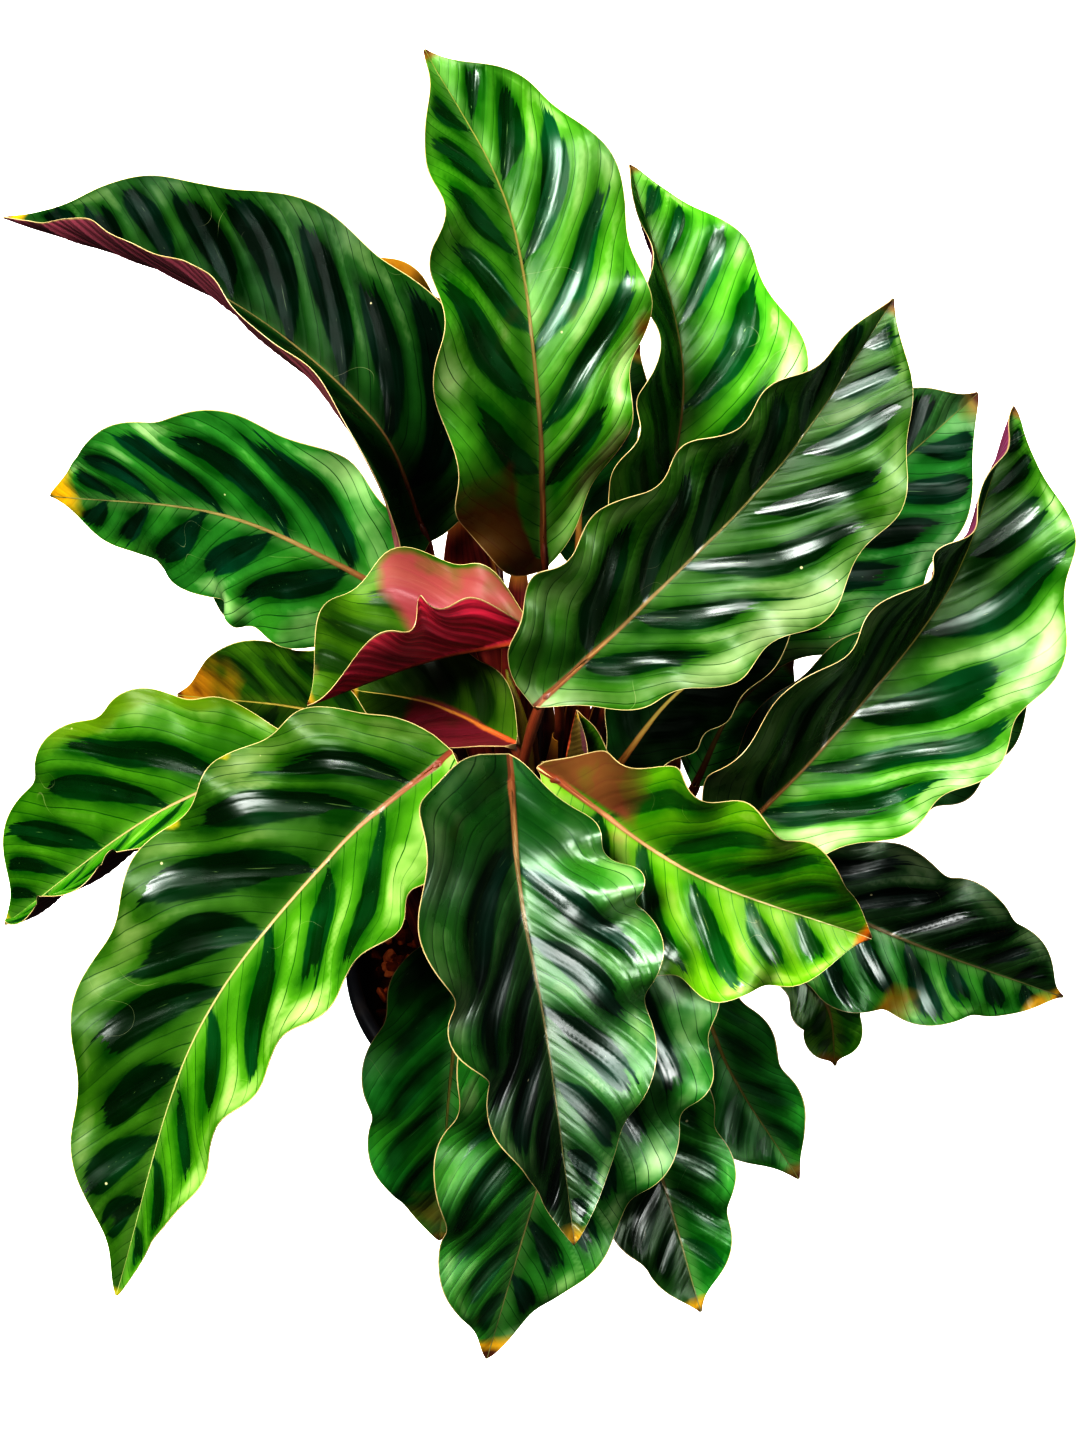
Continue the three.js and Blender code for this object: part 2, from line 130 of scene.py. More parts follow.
# Moulded black polypropylene: nearly black with a soft sheen, fine orange-peel from the mould, a bloom of
# dry dust from the bark under the lip and scuffs from the bench.
pot_black = new_material("moulded_black_polypropylene")
where = add(pot_black, "TexCoord", take="Object")
height = add(pot_black, "SeparateXYZ", {0: where}, take="Z")
cloudy = add(pot_black, "TexNoise", {"Vector": where, "Scale": 45, "Detail": 5})
peel = add(pot_black, "TexNoise", {"Vector": where, "Scale": 900, "Detail": 2})
drawn_out = add(pot_black, "Mapping", {"Vector": where, "Scale": (420, 420, 38)})
scuffs = add(pot_black, "TexNoise", {"Vector": drawn_out, "Scale": 1, "Detail": 4})
near_lip = add(pot_black, "MapRange", {0: height, 1: 0.1, 2: 0.116, 3: 0.15, 4: 0.85})
dust = add(pot_black, "MapRange", {0: cloudy, 1: 0.52, 2: 0.78})
dust = add(pot_black, "Math", {0: dust, 1: near_lip}, operation="MULTIPLY")
scuffed = add(pot_black, "MapRange", {0: scuffs, 1: 0.66, 2: 0.8, 4: 0.6})
black = add(pot_black, "Mix", {0: dust, 6: paint("#26272b"), 7: paint("#4a3d34")}, data_type="RGBA")
black = add(pot_black, "Mix", {0: scuffed, 6: black, 7: paint("#4a4c50")}, data_type="RGBA")
sheen = add(pot_black, "MapRange", {0: cloudy, 1: 0.25, 2: 0.8, 3: 0.34, 4: 0.56})
sheen = add(pot_black, "Math", {0: sheen, 1: dust}, operation="ADD", use_clamp=True)
relief = add(pot_black, "Bump", {"Strength": 0.25, "Distance": 0.0002, "Height": peel})
finish_material(pot_black, add(pot_black, "BsdfPrincipled", {
    "Base Color": black, "Roughness": sheen, "IOR": 1.49, "Normal": relief}))

pot = keep_mesh(turn_outline(pot_outline, pot_steps), "moulded_pot", [pot_black])
shape = bmesh.new()
for i in range(drain_count):
    angle = 2 * math.pi * i / drain_count
    place = Matrix.Translation((drain_ring * math.cos(angle), drain_ring * math.sin(angle), 1))
    bmesh.ops.create_cone(shape, cap_ends=True, segments=drain_sides, radius1=drain_radius,
                          radius2=drain_radius, depth=drill_length, matrix=place)
drill = keep_mesh(shape, "drill", [])
cut = pot.modifiers.new("drain holes", "BOOLEAN")
cut.object = drill
cut.operation = "DIFFERENCE"
cut.solver = "EXACT"
drilled = bpy.data.meshes.new_from_object(pot.evaluated_get(bpy.context.evaluated_depsgraph_get()))
pot.modifiers.clear()
pot.data = drilled
bpy.data.objects.remove(drill)
pot.data.set_sharp_from_angle(angle=math.radians(pot_corner))
stand_for(pot, "pot")

# The growing mix
# Composted bark and fired clay chips over a plug of dark peat, poured in loose and still damp. The chips
# lie half sunk at every angle, and each stalk rises from between them.
mix_top, mix_rise, mix_radius, mix_steps, mix_corner = 101, 4, 63.0, 96, 50
chip_count, stalk_room, golden_turn = 760, 2.9, 2.399963
chip_draw = np.random.default_rng(7)


def mix_dome(x, y, radius=mix_radius):
    """The height in millimetres of a smooth dome that falls to mix_top at a radius."""
    return mix_top + mix_rise * (1 - (x * x + y * y) / radius ** 2)


def mix_surface(x, y):
    """The height of the mix in millimetres, domed and slightly uneven."""
    return mix_dome(x, y) + 0.7 * noise.noise(Vector((x, y, 3)) / 9)


def lay_colours(ramp, *stops):
    """Gives a colour ramp its stops, each a place from 0 to 1 and a colour, and hands its output back."""
    elements = ramp.node.color_ramp.elements
    elements.remove(elements[1])
    elements[0].position = stops[0][0]
    elements[0].color = paint(stops[0][1])
    for place, colour in stops[1:]:
        elements.new(place).color = paint(colour)
    return ramp


def take_in(shape, part):
    """Adds one shape's points and faces to another's and frees it."""
    loose = bpy.data.meshes.new("loose")
    part.to_mesh(loose)
    part.free()
    shape.from_mesh(loose)
    bpy.data.meshes.remove(loose)


# Damp bark and clay: earth brown to brick red, each chip its own shade, dull with wet glints.
bark = new_material("damp_bark_and_clay_chips")
where = add(bark, "TexCoord", take="Object")
stirred = add(bark, "Attribute", take="Fac", attribute_name="chip_shade")
grain = add(bark, "TexNoise", {"Vector": where, "Scale": 700, "Detail": 6, "Roughness": 0.7})
mottle = add(bark, "TexNoise", {"Vector": where, "Scale": 160, "Detail": 3})
for part, weight in ((grain, 0.34), (mottle, 0.22)):
    stirred = add(bark, "Math", {0: part, 1: weight, 2: stirred}, operation="MULTIPLY_ADD")
browns = lay_colours(add(bark, "ValToRGB", {0: stirred}),
                     (0.28, "#1a0c06"), (0.5, "#4c220e"), (0.75, "#8e4824"), (0.98, "#b87446"))
wet = add(bark, "MapRange", {0: mottle, 1: 0.35, 2: 0.65, 3: 0.55, 4: 0.9})
rough = add(bark, "Bump", {"Strength": 0.8, "Distance": 0.0006, "Height": grain})
finish_material(bark, add(bark, "BsdfPrincipled", {
    "Base Color": browns, "Roughness": wet, "Specular IOR Level": 0.03, "Normal": rough}))

mix_outline = [(0, 2.8), (48.2, 2.8), (mix_radius - 0.3, mix_top - 1)]
mix_outline += [(mix_radius * (1 - i / 30), mix_top) for i in range(31)]
shape = turn_outline(mix_outline, mix_steps)
shades = shape.verts.layers.float.new("chip_shade")
for vert in shape.verts:
    vert[shades] = 0.1
    if vert.co.z > mix_top - 0.5:
        vert.co.z = mix_surface(vert.co.x, vert.co.y)
stalk_feet = {
    "leaf_back_tall": (0, 15), "leaf_back_left_long": (-11, 23), "leaf_left_upper": (-17, 17),
    "leaf_left_under": (-22, 31), "leaf_back_hidden_left": (-6, 38), "leaf_back_right": (9, 16),
    "leaf_right_high": (-2, -11), "leaf_right_low": (20, -12), "leaf_right_behind": (12, 8),
    "leaf_right_shaded": (25, -3), "leaf_right_outer": (29, -13), "leaf_front_right_young": (6, -19),
    "leaf_front_middle": (-2, -23), "leaf_front_left_long": (-12, -13), "leaf_left_low": (-36, -12),
    "leaf_left_aged": (-10, 4), "leaf_centre_young": (-2, 7), "leaf_centre_small": (-9, -3),
    "leaf_front_left_low": (-10, -21), "leaf_front_bottom": (13, -27), "leaf_front_right_low": (5, -30),
    "leaf_front_right_creased": (18, -20), "leaf_right_small": (37, -11), "leaf_right_inner": (13, -2),
    "leaf_right_inner_low": (21, 7), "leaf_back_hidden_right": (4, 23), "shoot_half_open": (7, 2),
    "shoot_spear": (-1, 0),
}
chips = bmesh.new()
corner_count = len(bmesh.ops.create_icosphere(chips, subdivisions=2, radius=1)["verts"])
while len(chips.verts) < chip_count * corner_count:
    bmesh.ops.duplicate(chips, geom=list(chips.verts) + list(chips.edges) + list(chips.faces))
chips.verts.ensure_lookup_table()
shades = chips.verts.layers.float.new("chip_shade")
spare = []
for i in range(len(chips.verts) // corner_count):
    chip = chips.verts[i * corner_count:(i + 1) * corner_count]
    distance = (mix_radius - 3.5) * math.sqrt((i + 0.5) / chip_count)
    angle = i * golden_turn + chip_draw.normal(0, 0.08)
    x, y = distance * math.cos(angle), distance * math.sin(angle)
    clear = min(math.hypot(x - fx, y - fy) for fx, fy in stalk_feet.values())
    size = min(chip_draw.uniform(1.5, 3.6), clear - stalk_room)
    tip, tilt, spin = chip_draw.normal(0, 0.45), chip_draw.normal(0, 0.45), chip_draw.uniform(0, 2 * math.pi)
    squeeze = (size * chip_draw.uniform(1, 1.5), size, size * chip_draw.uniform(0.45, 0.8), 1)
    tone = chip_draw.uniform(0.12, 0.62)
    if i >= chip_count or size < 1:
        spare += chip
        continue
    turned = Matrix.Rotation(spin, 4, "Z") @ Matrix.Rotation(tip, 4, "X") @ Matrix.Rotation(tilt, 4, "Y")
    place = Matrix.Translation((x, y, mix_surface(x, y) + size * 0.22)) @ turned @ Matrix.Diagonal(squeeze)
    for vert in chip:
        lumpy = 0.82 + 0.28 * noise.noise(vert.co * 1.3 + Vector((i, 0, 0)))
        vert.co = place @ (Vector([math.copysign(abs(c) ** 0.7, c) for c in vert.co]) * lumpy)
        vert[shades] = tone
bmesh.ops.delete(chips, geom=spare, context="VERTS")
take_in(shape, chips)
growing_mix = keep_mesh(shape, "bark_and_clay_mix", [bark])
growing_mix.data.set_sharp_from_angle(angle=math.radians(mix_corner))
stand_for(growing_mix, "growing_mix")

# The leaves
# Each leaf is one blade on one stalk, grown from a rolled spear: a thin waxy sheet with a stout midrib,
# side veins that sweep to the tip, dark feathered patches above and maroon below. One row a leaf, in
# millimetres and degrees, with what is usual given once. rib: what the midrib runs through, from the
# stalk's top to the tip. width: the flat blade's, and widest: how far along, left and right. lobe: how
# far the base reaches back. roll, twist, fold, curl: how the upper face turns from the light and how its
# halves rise and bend. waves, phase: the waves of the margins. slant: how far a side vein runs towards
# the tip for each millimetre out, at the stalk and at the tip. patches: where along the midrib the dark
# patches start, and spread: their half width as a share of the step, left and right. ground: how light
# the green between them is, left and right. coat: the leaf's colours, of which the shade coat is a
# darker copy that is painted shade. tone: how much paler or darker than them each half is painted,
# partly its own depth of green and partly painted light and shade for how the light falls on it.
# shine: how strongly its wax mirrors, and film: how much of that it does between the patches too.
# sheath: how far up the stalk its sheath goes, and how far that stands off. spots: where it has aged,
# as shares along and over it, the radius and how far. flush_and_shade: a colour laid near the stalk,
# mostly the red juice and on leaf_front_middle dark green painted shade: its colour, how far along,
# and over which part. under: the underside's colour, where it differs from its coat's.
usual = dict(twist=0, curl=(0, 0), slant=(0.6, 1.1), spread=(0.3, 0.3), ground=(0.5, 0.5), shine=0.5,
             film=0.25, sheath=(0.6, 2.2), spots=(), flush_and_shade=None)
leaves = (
    dict(name="leaf_back_tall", lobe=5, width=78, widest=(0.4, 0.54),
         rib=((4, 37, 292), (2, 51, 354), (-7, 83, 402), (-32, 111, 440)), roll=18, twist=6, fold=(24, 4),
         curl=(0, -4), waves=(4.5, 4), phase=(0.16, 0.03), slant=(0.95, 1.25), coat="bright",
         tone=(1.3, 1.2), patches=((34, 60, 84, 106, 128, 148), (28, 50, 77, 104, 129, 149)),
         spread=(0.32, 0.29), ground=(0.66, 0.9), sheath=(0.88, 8), spots=((0.42, 1, 4, 0.4),),
         flush_and_shade=("#6e361a", 0.3, -1, -0.3)),
    dict(name="leaf_back_left_long", lobe=4, width=86, widest=(0.41, 0.47),
         rib=((-37, 73, 264), (-54, 80, 314), (-108, 125, 328), (-185, 168, 323)), roll=22, twist=37,
         fold=(46, 27), curl=(34, 8), waves=(4.5, 2.8), phase=(0.63, 0.41), slant=(0.8, 1.2), coat="dark",
         tone=(1.1, 0.36), patches=((30, 58, 88, 118, 148, 176), (22, 45, 67, 92, 118, 143, 166, 186)),
         spread=(0.34, 0.36), ground=(0.5, 0.85), shine=0.22, sheath=(0.85, 8)),
    dict(name="leaf_left_upper", lobe=4, width=78, widest=(0.36, 0.42),
         rib=((-46, 56, 251), (-105, 78, 267), (-177, 123, 229)), roll=-26, twist=-15, fold=(0, 10),
         curl=(-8, 0), waves=(4.5, 3), phase=(0.14, 0.65), slant=(0.8, 1.3), coat="dark",
         tone=(1.05, 1.15), patches=((20, 48, 76, 104, 128), (18, 42, 68, 97, 120)), spread=(0.28, 0.3),
         ground=(0.7, 0.75), spots=((1, 0, 12, 0.6),)),
    dict(name="leaf_left_under", lobe=4, width=54, widest=(0.4, 0.42),
         rib=((-67, 92, 201), (-106, 116, 211), (-162, 157, 181)), roll=-10, fold=(5, 8), waves=(4, 3),
         phase=(0.25, 0.43), slant=(0.7, 1.1), coat="shade", tone=(0.9, 0.9),
         patches=(range(16, 110, 22), range(20, 110, 22)), shine=0.3),
    dict(name="leaf_back_hidden_left", lobe=4, width=50, widest=(0.42, 0.4),
         rib=((-18, 116, 250), (-43, 136, 285), (-64, 190, 290)), roll=6, fold=(10, 6), waves=(4, 3),
         phase=(0.2, 0.8), slant=(0.7, 1.1), coat="olive", tone=(0.3, 0.12),
         patches=(range(14, 90, 20), range(20, 90, 20)), shine=0.25, spots=((0.9, 0.6, 22, 0.4),)),
    dict(name="leaf_back_right", lobe=4, width=83, widest=(0.42, 0.42),
         rib=((33, 34, 270), (50, 82, 326), (32, 129, 380)), roll=20, twist=26, fold=(48, 15), curl=(5, 0),
         waves=(4.5, 3.7), phase=(0.63, 0.61), slant=(0.7, 1.0), coat="bright", tone=(0.7, 2.1),
         patches=(range(24, 130, 23), (22, 45, 68, 95, 116, 132)), spread=(0.35, 0.28), ground=(0.6, 0.95),
         sheath=(0.85, 6)),
    dict(name="leaf_right_high", lobe=4, width=82, widest=(0.38, 0.56),
         rib=((4, -32, 304), (36, -12, 327), (77, 18, 357), (110, 50, 395)), roll=20, twist=24,
         fold=(32, 12), waves=(5.3, 4), phase=(0.89, 0.24), slant=(0.8, 1.25), coat="bright",
         tone=(0.68, 0.62), patches=((20, 43, 66, 90, 113, 135), (17, 37, 60, 83, 106, 128, 146)),
         spread=(0.4, 0.3), ground=(0.75, 0.95), sheath=(0.8, 4)),
    dict(name="leaf_right_low", lobe=4, width=90, widest=(0.43, 0.53),
         rib=((63, -40, 235), (98, -19, 269), (137, 25, 292), (158, 72, 327)), roll=23, twist=42,
         fold=(42, 22), curl=(7, 7), waves=(5.7, 3.7), phase=(0.11, 0.45), slant=(0.9, 1.2), coat="bright",
         tone=(0.3, 1.1), patches=((22, 48, 74, 100, 124, 146), (18, 38, 62, 97, 126, 148, 163)),
         spread=(0.4, 0.31), ground=(0.78, 0.95), sheath=(0.72, 4)),
    dict(name="leaf_right_behind", lobe=4, width=76, widest=(0.45, 0.55),
         rib=((54, 42, 221), (100, 74, 261), (157, 123, 282)), roll=18, fold=(20, 9), waves=(4.5, 3.2),
         phase=(0, 0.57), slant=(0.8, 1.2), coat="shade", tone=(1.02, 1.45),
         patches=(range(18, 130, 23), range(24, 130, 23)), spread=(0.32, 0.32), ground=(0.88, 0.88),
         sheath=(0.92, 7), spots=((1, 0.2, 5, 0.5),)),
    dict(name="leaf_right_shaded", lobe=4, width=68, widest=(0.45, 0.5),
         rib=((69, -15, 200), (123, 19, 223), (177, 43, 220)), roll=0, fold=(10, 15), curl=(0, 5),
         waves=(4, 3), phase=(0.96, 0.57), slant=(0.8, 1.1), coat="shade", tone=(1.1, 1.6),
         patches=(range(14, 120, 22), range(18, 120, 22)), sheath=(0.7, 4)),
    dict(name="leaf_right_outer", lobe=4, width=60, widest=(0.44, 0.4),
         rib=((69, -24, 206), (125, -40, 183), (194, -25, 120)), roll=12, fold=(9, 3), waves=(4.5, 3),
         phase=(0.15, 0), slant=(0.9, 1.3), coat="dark", tone=(0.52, 2.4),
         patches=(range(18, 140, 22), range(24, 140, 22)), ground=(0.88, 0.8),
         spots=((0.57, 1, 8, 0.4), (0.93, 1, 5, 0.4))),
    dict(name="leaf_front_right_young", lobe=7, width=70, widest=(0.5, 0.55),
         rib=((8, -44, 279), (51, -76, 272), (107, -86, 251)), roll=18, fold=(25, 7), curl=(7, 0),
         waves=(4.9, 4.3), phase=(0.32, 0.76), slant=(0.45, 0.85), coat="young", tone=(0.66, 0.95),
         patches=((22, 43, 60, 78, 94), (18, 36, 54, 73, 90)), spread=(0.2, 0.26), ground=(0.6, 0.95),
         flush_and_shade=("#a05c46", 0.32, -1, -0.1)),
    # Its flush_and_shade is dark green painted shade over the base of its left half.
    dict(name="leaf_front_middle", lobe=8, width=80, widest=(0.52, 0.36),
         rib=((-6, -62, 302), (-3, -94, 287), (5, -119, 245), (14, -154, 177)), roll=-25, twist=-9,
         fold=(8, 20), curl=(-3, 5), waves=(5, 4.5), phase=(0.32, 0.15), slant=(0.6, 1.4), coat="dark",
         tone=(1.15, 0.44), patches=((28, 50, 75, 101, 126, 145), (22, 42, 62, 84, 106, 128)),
         spread=(0.32, 0.36), ground=(0.75, 0.8), film=1.1, flush_and_shade=("#0a4014", 0.3, -1.2, 0.1),
         spots=((1, 0, 6, 0.6),)),
    dict(name="leaf_front_left_long", lobe=5, width=92, widest=(0.4, 0.42),
         rib=((-28, -40, 282), (-63, -61, 260), (-107, -102, 218), (-135, -159, 151)), roll=13, twist=7,
         fold=(32, 14), curl=(12, 6), waves=(6, 4), phase=(0.07, 0.97), slant=(0.45, 1.1), coat="fresh",
         tone=(0.88, 0.46),
         patches=((24, 48, 77, 109, 137, 163, 188), (12, 27, 53, 80, 103, 132, 156, 178)),
         spread=(0.24, 0.37), ground=(0.95, 0.8), spots=((0.33, 1, 1.2, 0.5), (0.46, 1, 1.8, 0.5))),
    dict(name="leaf_left_low", lobe=4, width=83, widest=(0.44, 0.53),
         rib=((-77, 0, 234), (-129, -10, 212), (-189, -14, 151)), roll=16, twist=17, fold=(40, 16),
         curl=(47, 4), waves=(4.6, 3.9), phase=(0.23, 0.26), slant=(0.9, 1.1), coat="fresh",
         tone=(1.4, 0.68), patches=(range(20, 125, 24), (28, 51, 84, 104, 122)), spread=(0.28, 0.3),
         ground=(0.8, 0.8), flush_and_shade=("#7a9c10", 0.7, 0.9, 1.3)),
    dict(name="leaf_left_aged", lobe=4, width=50, widest=(0.5, 0.55),
         rib=((-29, 15, 204), (-74, 40, 205), (-133, 78, 168)), roll=-13, fold=(10, 15), waves=(3, 3.2),
         phase=(0.7, 0.79), slant=(0.6, 1.0), coat="olive", tone=(0.4, 0.85),
         patches=(range(14, 90, 20), range(18, 90, 20)), sheath=(0.7, 4), spots=((0.93, 0.4, 13, 0.45),)),
    dict(name="leaf_centre_young", lobe=3, width=72, widest=(0.43, 0.5),
         rib=((-1, 1, 293), (-33, 0, 284), (-71, -20, 285)), roll=47, twist=-17, fold=(58, 34),
         curl=(19, 0), waves=(3, 3.7), phase=(0.98, 0.69), slant=(0.5, 0.9), coat="newest",
         tone=(0.75, 0.65), patches=(range(14, 60, 18), range(18, 60, 18)), ground=(0.6, 0.6),
         sheath=(0.72, 4), flush_and_shade=("#c8606a", 0.62, 0, 1)),
    dict(name="leaf_centre_small", lobe=2, width=44, widest=(0.5, 0.5),
         rib=((-6, -18, 263), (-33, 5, 254), (-60, 9, 257)), roll=25, fold=(23, 15), curl=(5, 0),
         waves=(3, 2.1), phase=(0.26, 0.4), slant=(0.5, 0.9), coat="newest", tone=(0.26, 0.45),
         patches=(range(12, 44, 16), range(14, 44, 16)), ground=(0.6, 0.6),
         flush_and_shade=("#e05070", 0.7, -1, 0.1)),
    dict(name="leaf_front_left_low", lobe=4, width=58, widest=(0.5, 0.52),
         rib=((-16, -60, 240), (-26, -94, 189), (-32, -118, 110)), roll=-7, twist=4, fold=(10, 15),
         waves=(4.4, 3), phase=(0.61, 0.8), coat="shade", tone=(3.0, 3.4),
         patches=(range(20, 120, 22), range(14, 120, 22)), ground=(0.4, 0.4),
         spots=((0.9, 0.6, 10, 0.4),)),
    dict(name="leaf_front_bottom", lobe=4, width=84, widest=(0.38, 0.45),
         rib=((32, -72, 251), (10, -119, 203), (-15, -162, 110)), roll=-17, twist=-12, fold=(7, 16),
         curl=(-3, 4), waves=(4.8, 3.9), phase=(0.35, 0.07), slant=(0.6, 1.3), coat="dark",
         tone=(1.05, 1.5), patches=((20, 45, 70, 93, 116, 140), (26, 50, 74, 98, 124, 148)),
         spread=(0.3, 0.34), ground=(0.75, 0.55)),
    dict(name="leaf_front_right_low", lobe=4, width=48, widest=(0.46, 0.44),
         rib=((23, -91, 216), (42, -113, 157), (58, -143, 106)), roll=-8, fold=(9, 11), waves=(4, 3),
         phase=(0.71, 0.34), coat="dark", tone=(2.2, 0.45),
         patches=(range(18, 110, 20), range(14, 110, 20))),
    dict(name="leaf_front_right_creased", lobe=3, width=40, widest=(0.49, 0.5),
         rib=((53, -59, 201), (67, -79, 162), (93, -100, 121)), roll=12, fold=(18, 10), waves=(3, 3),
         phase=(0.85, 0.86), coat="shade", tone=(2.7, 3.2), patches=(range(14, 90, 20), range(18, 90, 20)),
         ground=(0.4, 0.4)),
    dict(name="leaf_right_small", lobe=2, width=24, widest=(0.5, 0.5),
         rib=((84, -40, 177), (102, -54, 162), (108, -58, 127)), roll=0, fold=(12, 10), waves=(3, 2),
         phase=(0.67, 0.65), coat="olive", tone=(3.6, 1.8),
         patches=(range(12, 50, 16), range(14, 50, 16))),
    dict(name="leaf_right_inner", lobe=3, width=38, widest=(0.5, 0.44),
         rib=((29, -3, 230), (51, 18, 246), (92, 38, 265)), roll=-9, fold=(12, 15), waves=(4, 2),
         phase=(0.1, 0.69), coat="shade", tone=(0.4, 0.14), patches=(range(12, 70, 18), range(16, 70, 18)),
         ground=(0.4, 0.4), shine=0.1, sheath=(0.85, 5)),
    dict(name="leaf_right_inner_low", lobe=3, width=36, widest=(0.5, 0.5),
         rib=((59, 22, 190), (72, 44, 202), (94, 60, 213)), roll=0, fold=(12, 10), waves=(3, 2),
         phase=(0.57, 0.66), coat="shade", tone=(3.0, 5.0), patches=(range(12, 44, 18), range(16, 44, 18)),
         ground=(0.4, 0.4), shine=0.15, sheath=(0.75, 5)),
    dict(name="leaf_back_hidden_right", lobe=3, width=38, widest=(0.5, 0.48),
         rib=((16, 68, 255), (19, 93, 287), (37, 116, 312)), roll=-6, fold=(12, 14), waves=(3, 2),
         phase=(0.1, 0.47), coat="shade", tone=(0.4, 0.6), patches=(range(12, 64, 18), range(16, 64, 18)),
         shine=0.2, sheath=(0.75, 5.5)),
    dict(name="shoot_half_open", lobe=1, width=26, widest=(0.5, 0.5),
         rib=((12, -12, 236), (13, -9, 250), (15, -6, 265)), roll=40, fold=(60, 40), curl=(40, 30),
         waves=(1.5, 1), phase=(0.1, 0.5), coat="newest", tone=(0.8, 0.8), patches=((10, 20), (12, 22)),
         flush_and_shade=("#7a4058", 1.5, -1, 0), under="#6a5a2c"),
)
tip_taper, wave_sway, veins_a_step = 0.74, 0.6, 4
blade_thickness, keel_depth, row_step, column_step = 0.5, 1.5, 1.5, 1.7
light_from = np.array((0, -0.62, 0.79)) / math.hypot(0.62, 0.79)


def rib_curve(rib, share):
    """Points and directions of the midrib at shares from stalk (0) to tip (1)."""
    points = np.array(rib, float)
    spans = len(points) - 1
    span = np.minimum((spans * share).astype(int), spans - 1)
    part = (spans * share - span)[:, None]
    knots = np.vstack((2 * points[0] - points[1], points, 2 * points[-1] - points[-2]))
    before, start, end, after = (knots[span + i] for i in range(4))
    leave, arrive = (end - before) / 2, (after - start) / 2
    square = 3 * (end - start) - 2 * leave - arrive
    cube = 2 * (start - end) + leave + arrive
    place = start + leave * part + square * part ** 2 + cube * part ** 3
    heading = leave + 2 * square * part + 3 * cube * part ** 2
    return place, heading / np.linalg.norm(heading, axis=1, keepdims=True)


def lengths_along(points):
    """How far along a line of points each of them lies."""
    return np.concatenate(([0], np.cumsum(np.linalg.norm(np.diff(points, axis=0), axis=1))))


def half_width(leaf, along, side):
    """Half the flat blade's width at shares along it, for the left (0) or right (1) half."""
    widest = np.where(side == 0, leaf["widest"][0], leaf["widest"][1])
    base = (along / widest) ** (tip_taper * widest / (1 - widest))
    drawn_in = 1 - 0.5 * np.exp(-((1 - along) / 0.085) ** 2)
    return np.maximum(0.4, leaf["width"] / 2 * base * ((1 - along) / (1 - widest)) ** tip_taper * drawn_in)


def blade_place(leaf, along, over):
    """Where the blade is at shares along it and over it, from the left margin (-1) to the right (1)."""
    place, heading = rib_curve(leaf["rib"], along)
    normal = light_from - heading * (heading @ light_from)[:, None]
    normal /= np.linalg.norm(normal, axis=1, keepdims=True)
    roll = np.radians(leaf["roll"] + leaf["twist"] * (along - 0.5))[:, None]
    up = normal * np.cos(roll) + np.cross(heading, normal) * np.sin(roll)
    across = np.cross(heading, up) * np.sign(over)[:, None]
    side = (over > 0).astype(int)
    reach = np.abs(over)
    rise = np.radians(np.array(leaf["fold"])[side] + np.array(leaf["curl"])[side] * reach / 2)
    count, height = leaf["waves"]
    wave = 2 * math.pi * (count * along + np.array(leaf["phase"])[side])
    swell = reach ** 2 * np.sqrt(np.sin(math.pi * along).clip(0)) * height
    out = reach * half_width(leaf, along, side)
    sideways = out * np.cos(rise) + swell * wave_sway * np.cos(wave)
    upwards = out * np.sin(rise) + swell * np.sin(wave)
    back = leaf["lobe"] * reach ** 2 * (1 - along) ** 6
    return place + across * sideways[:, None] + up * upwards[:, None] - heading * back[:, None], up


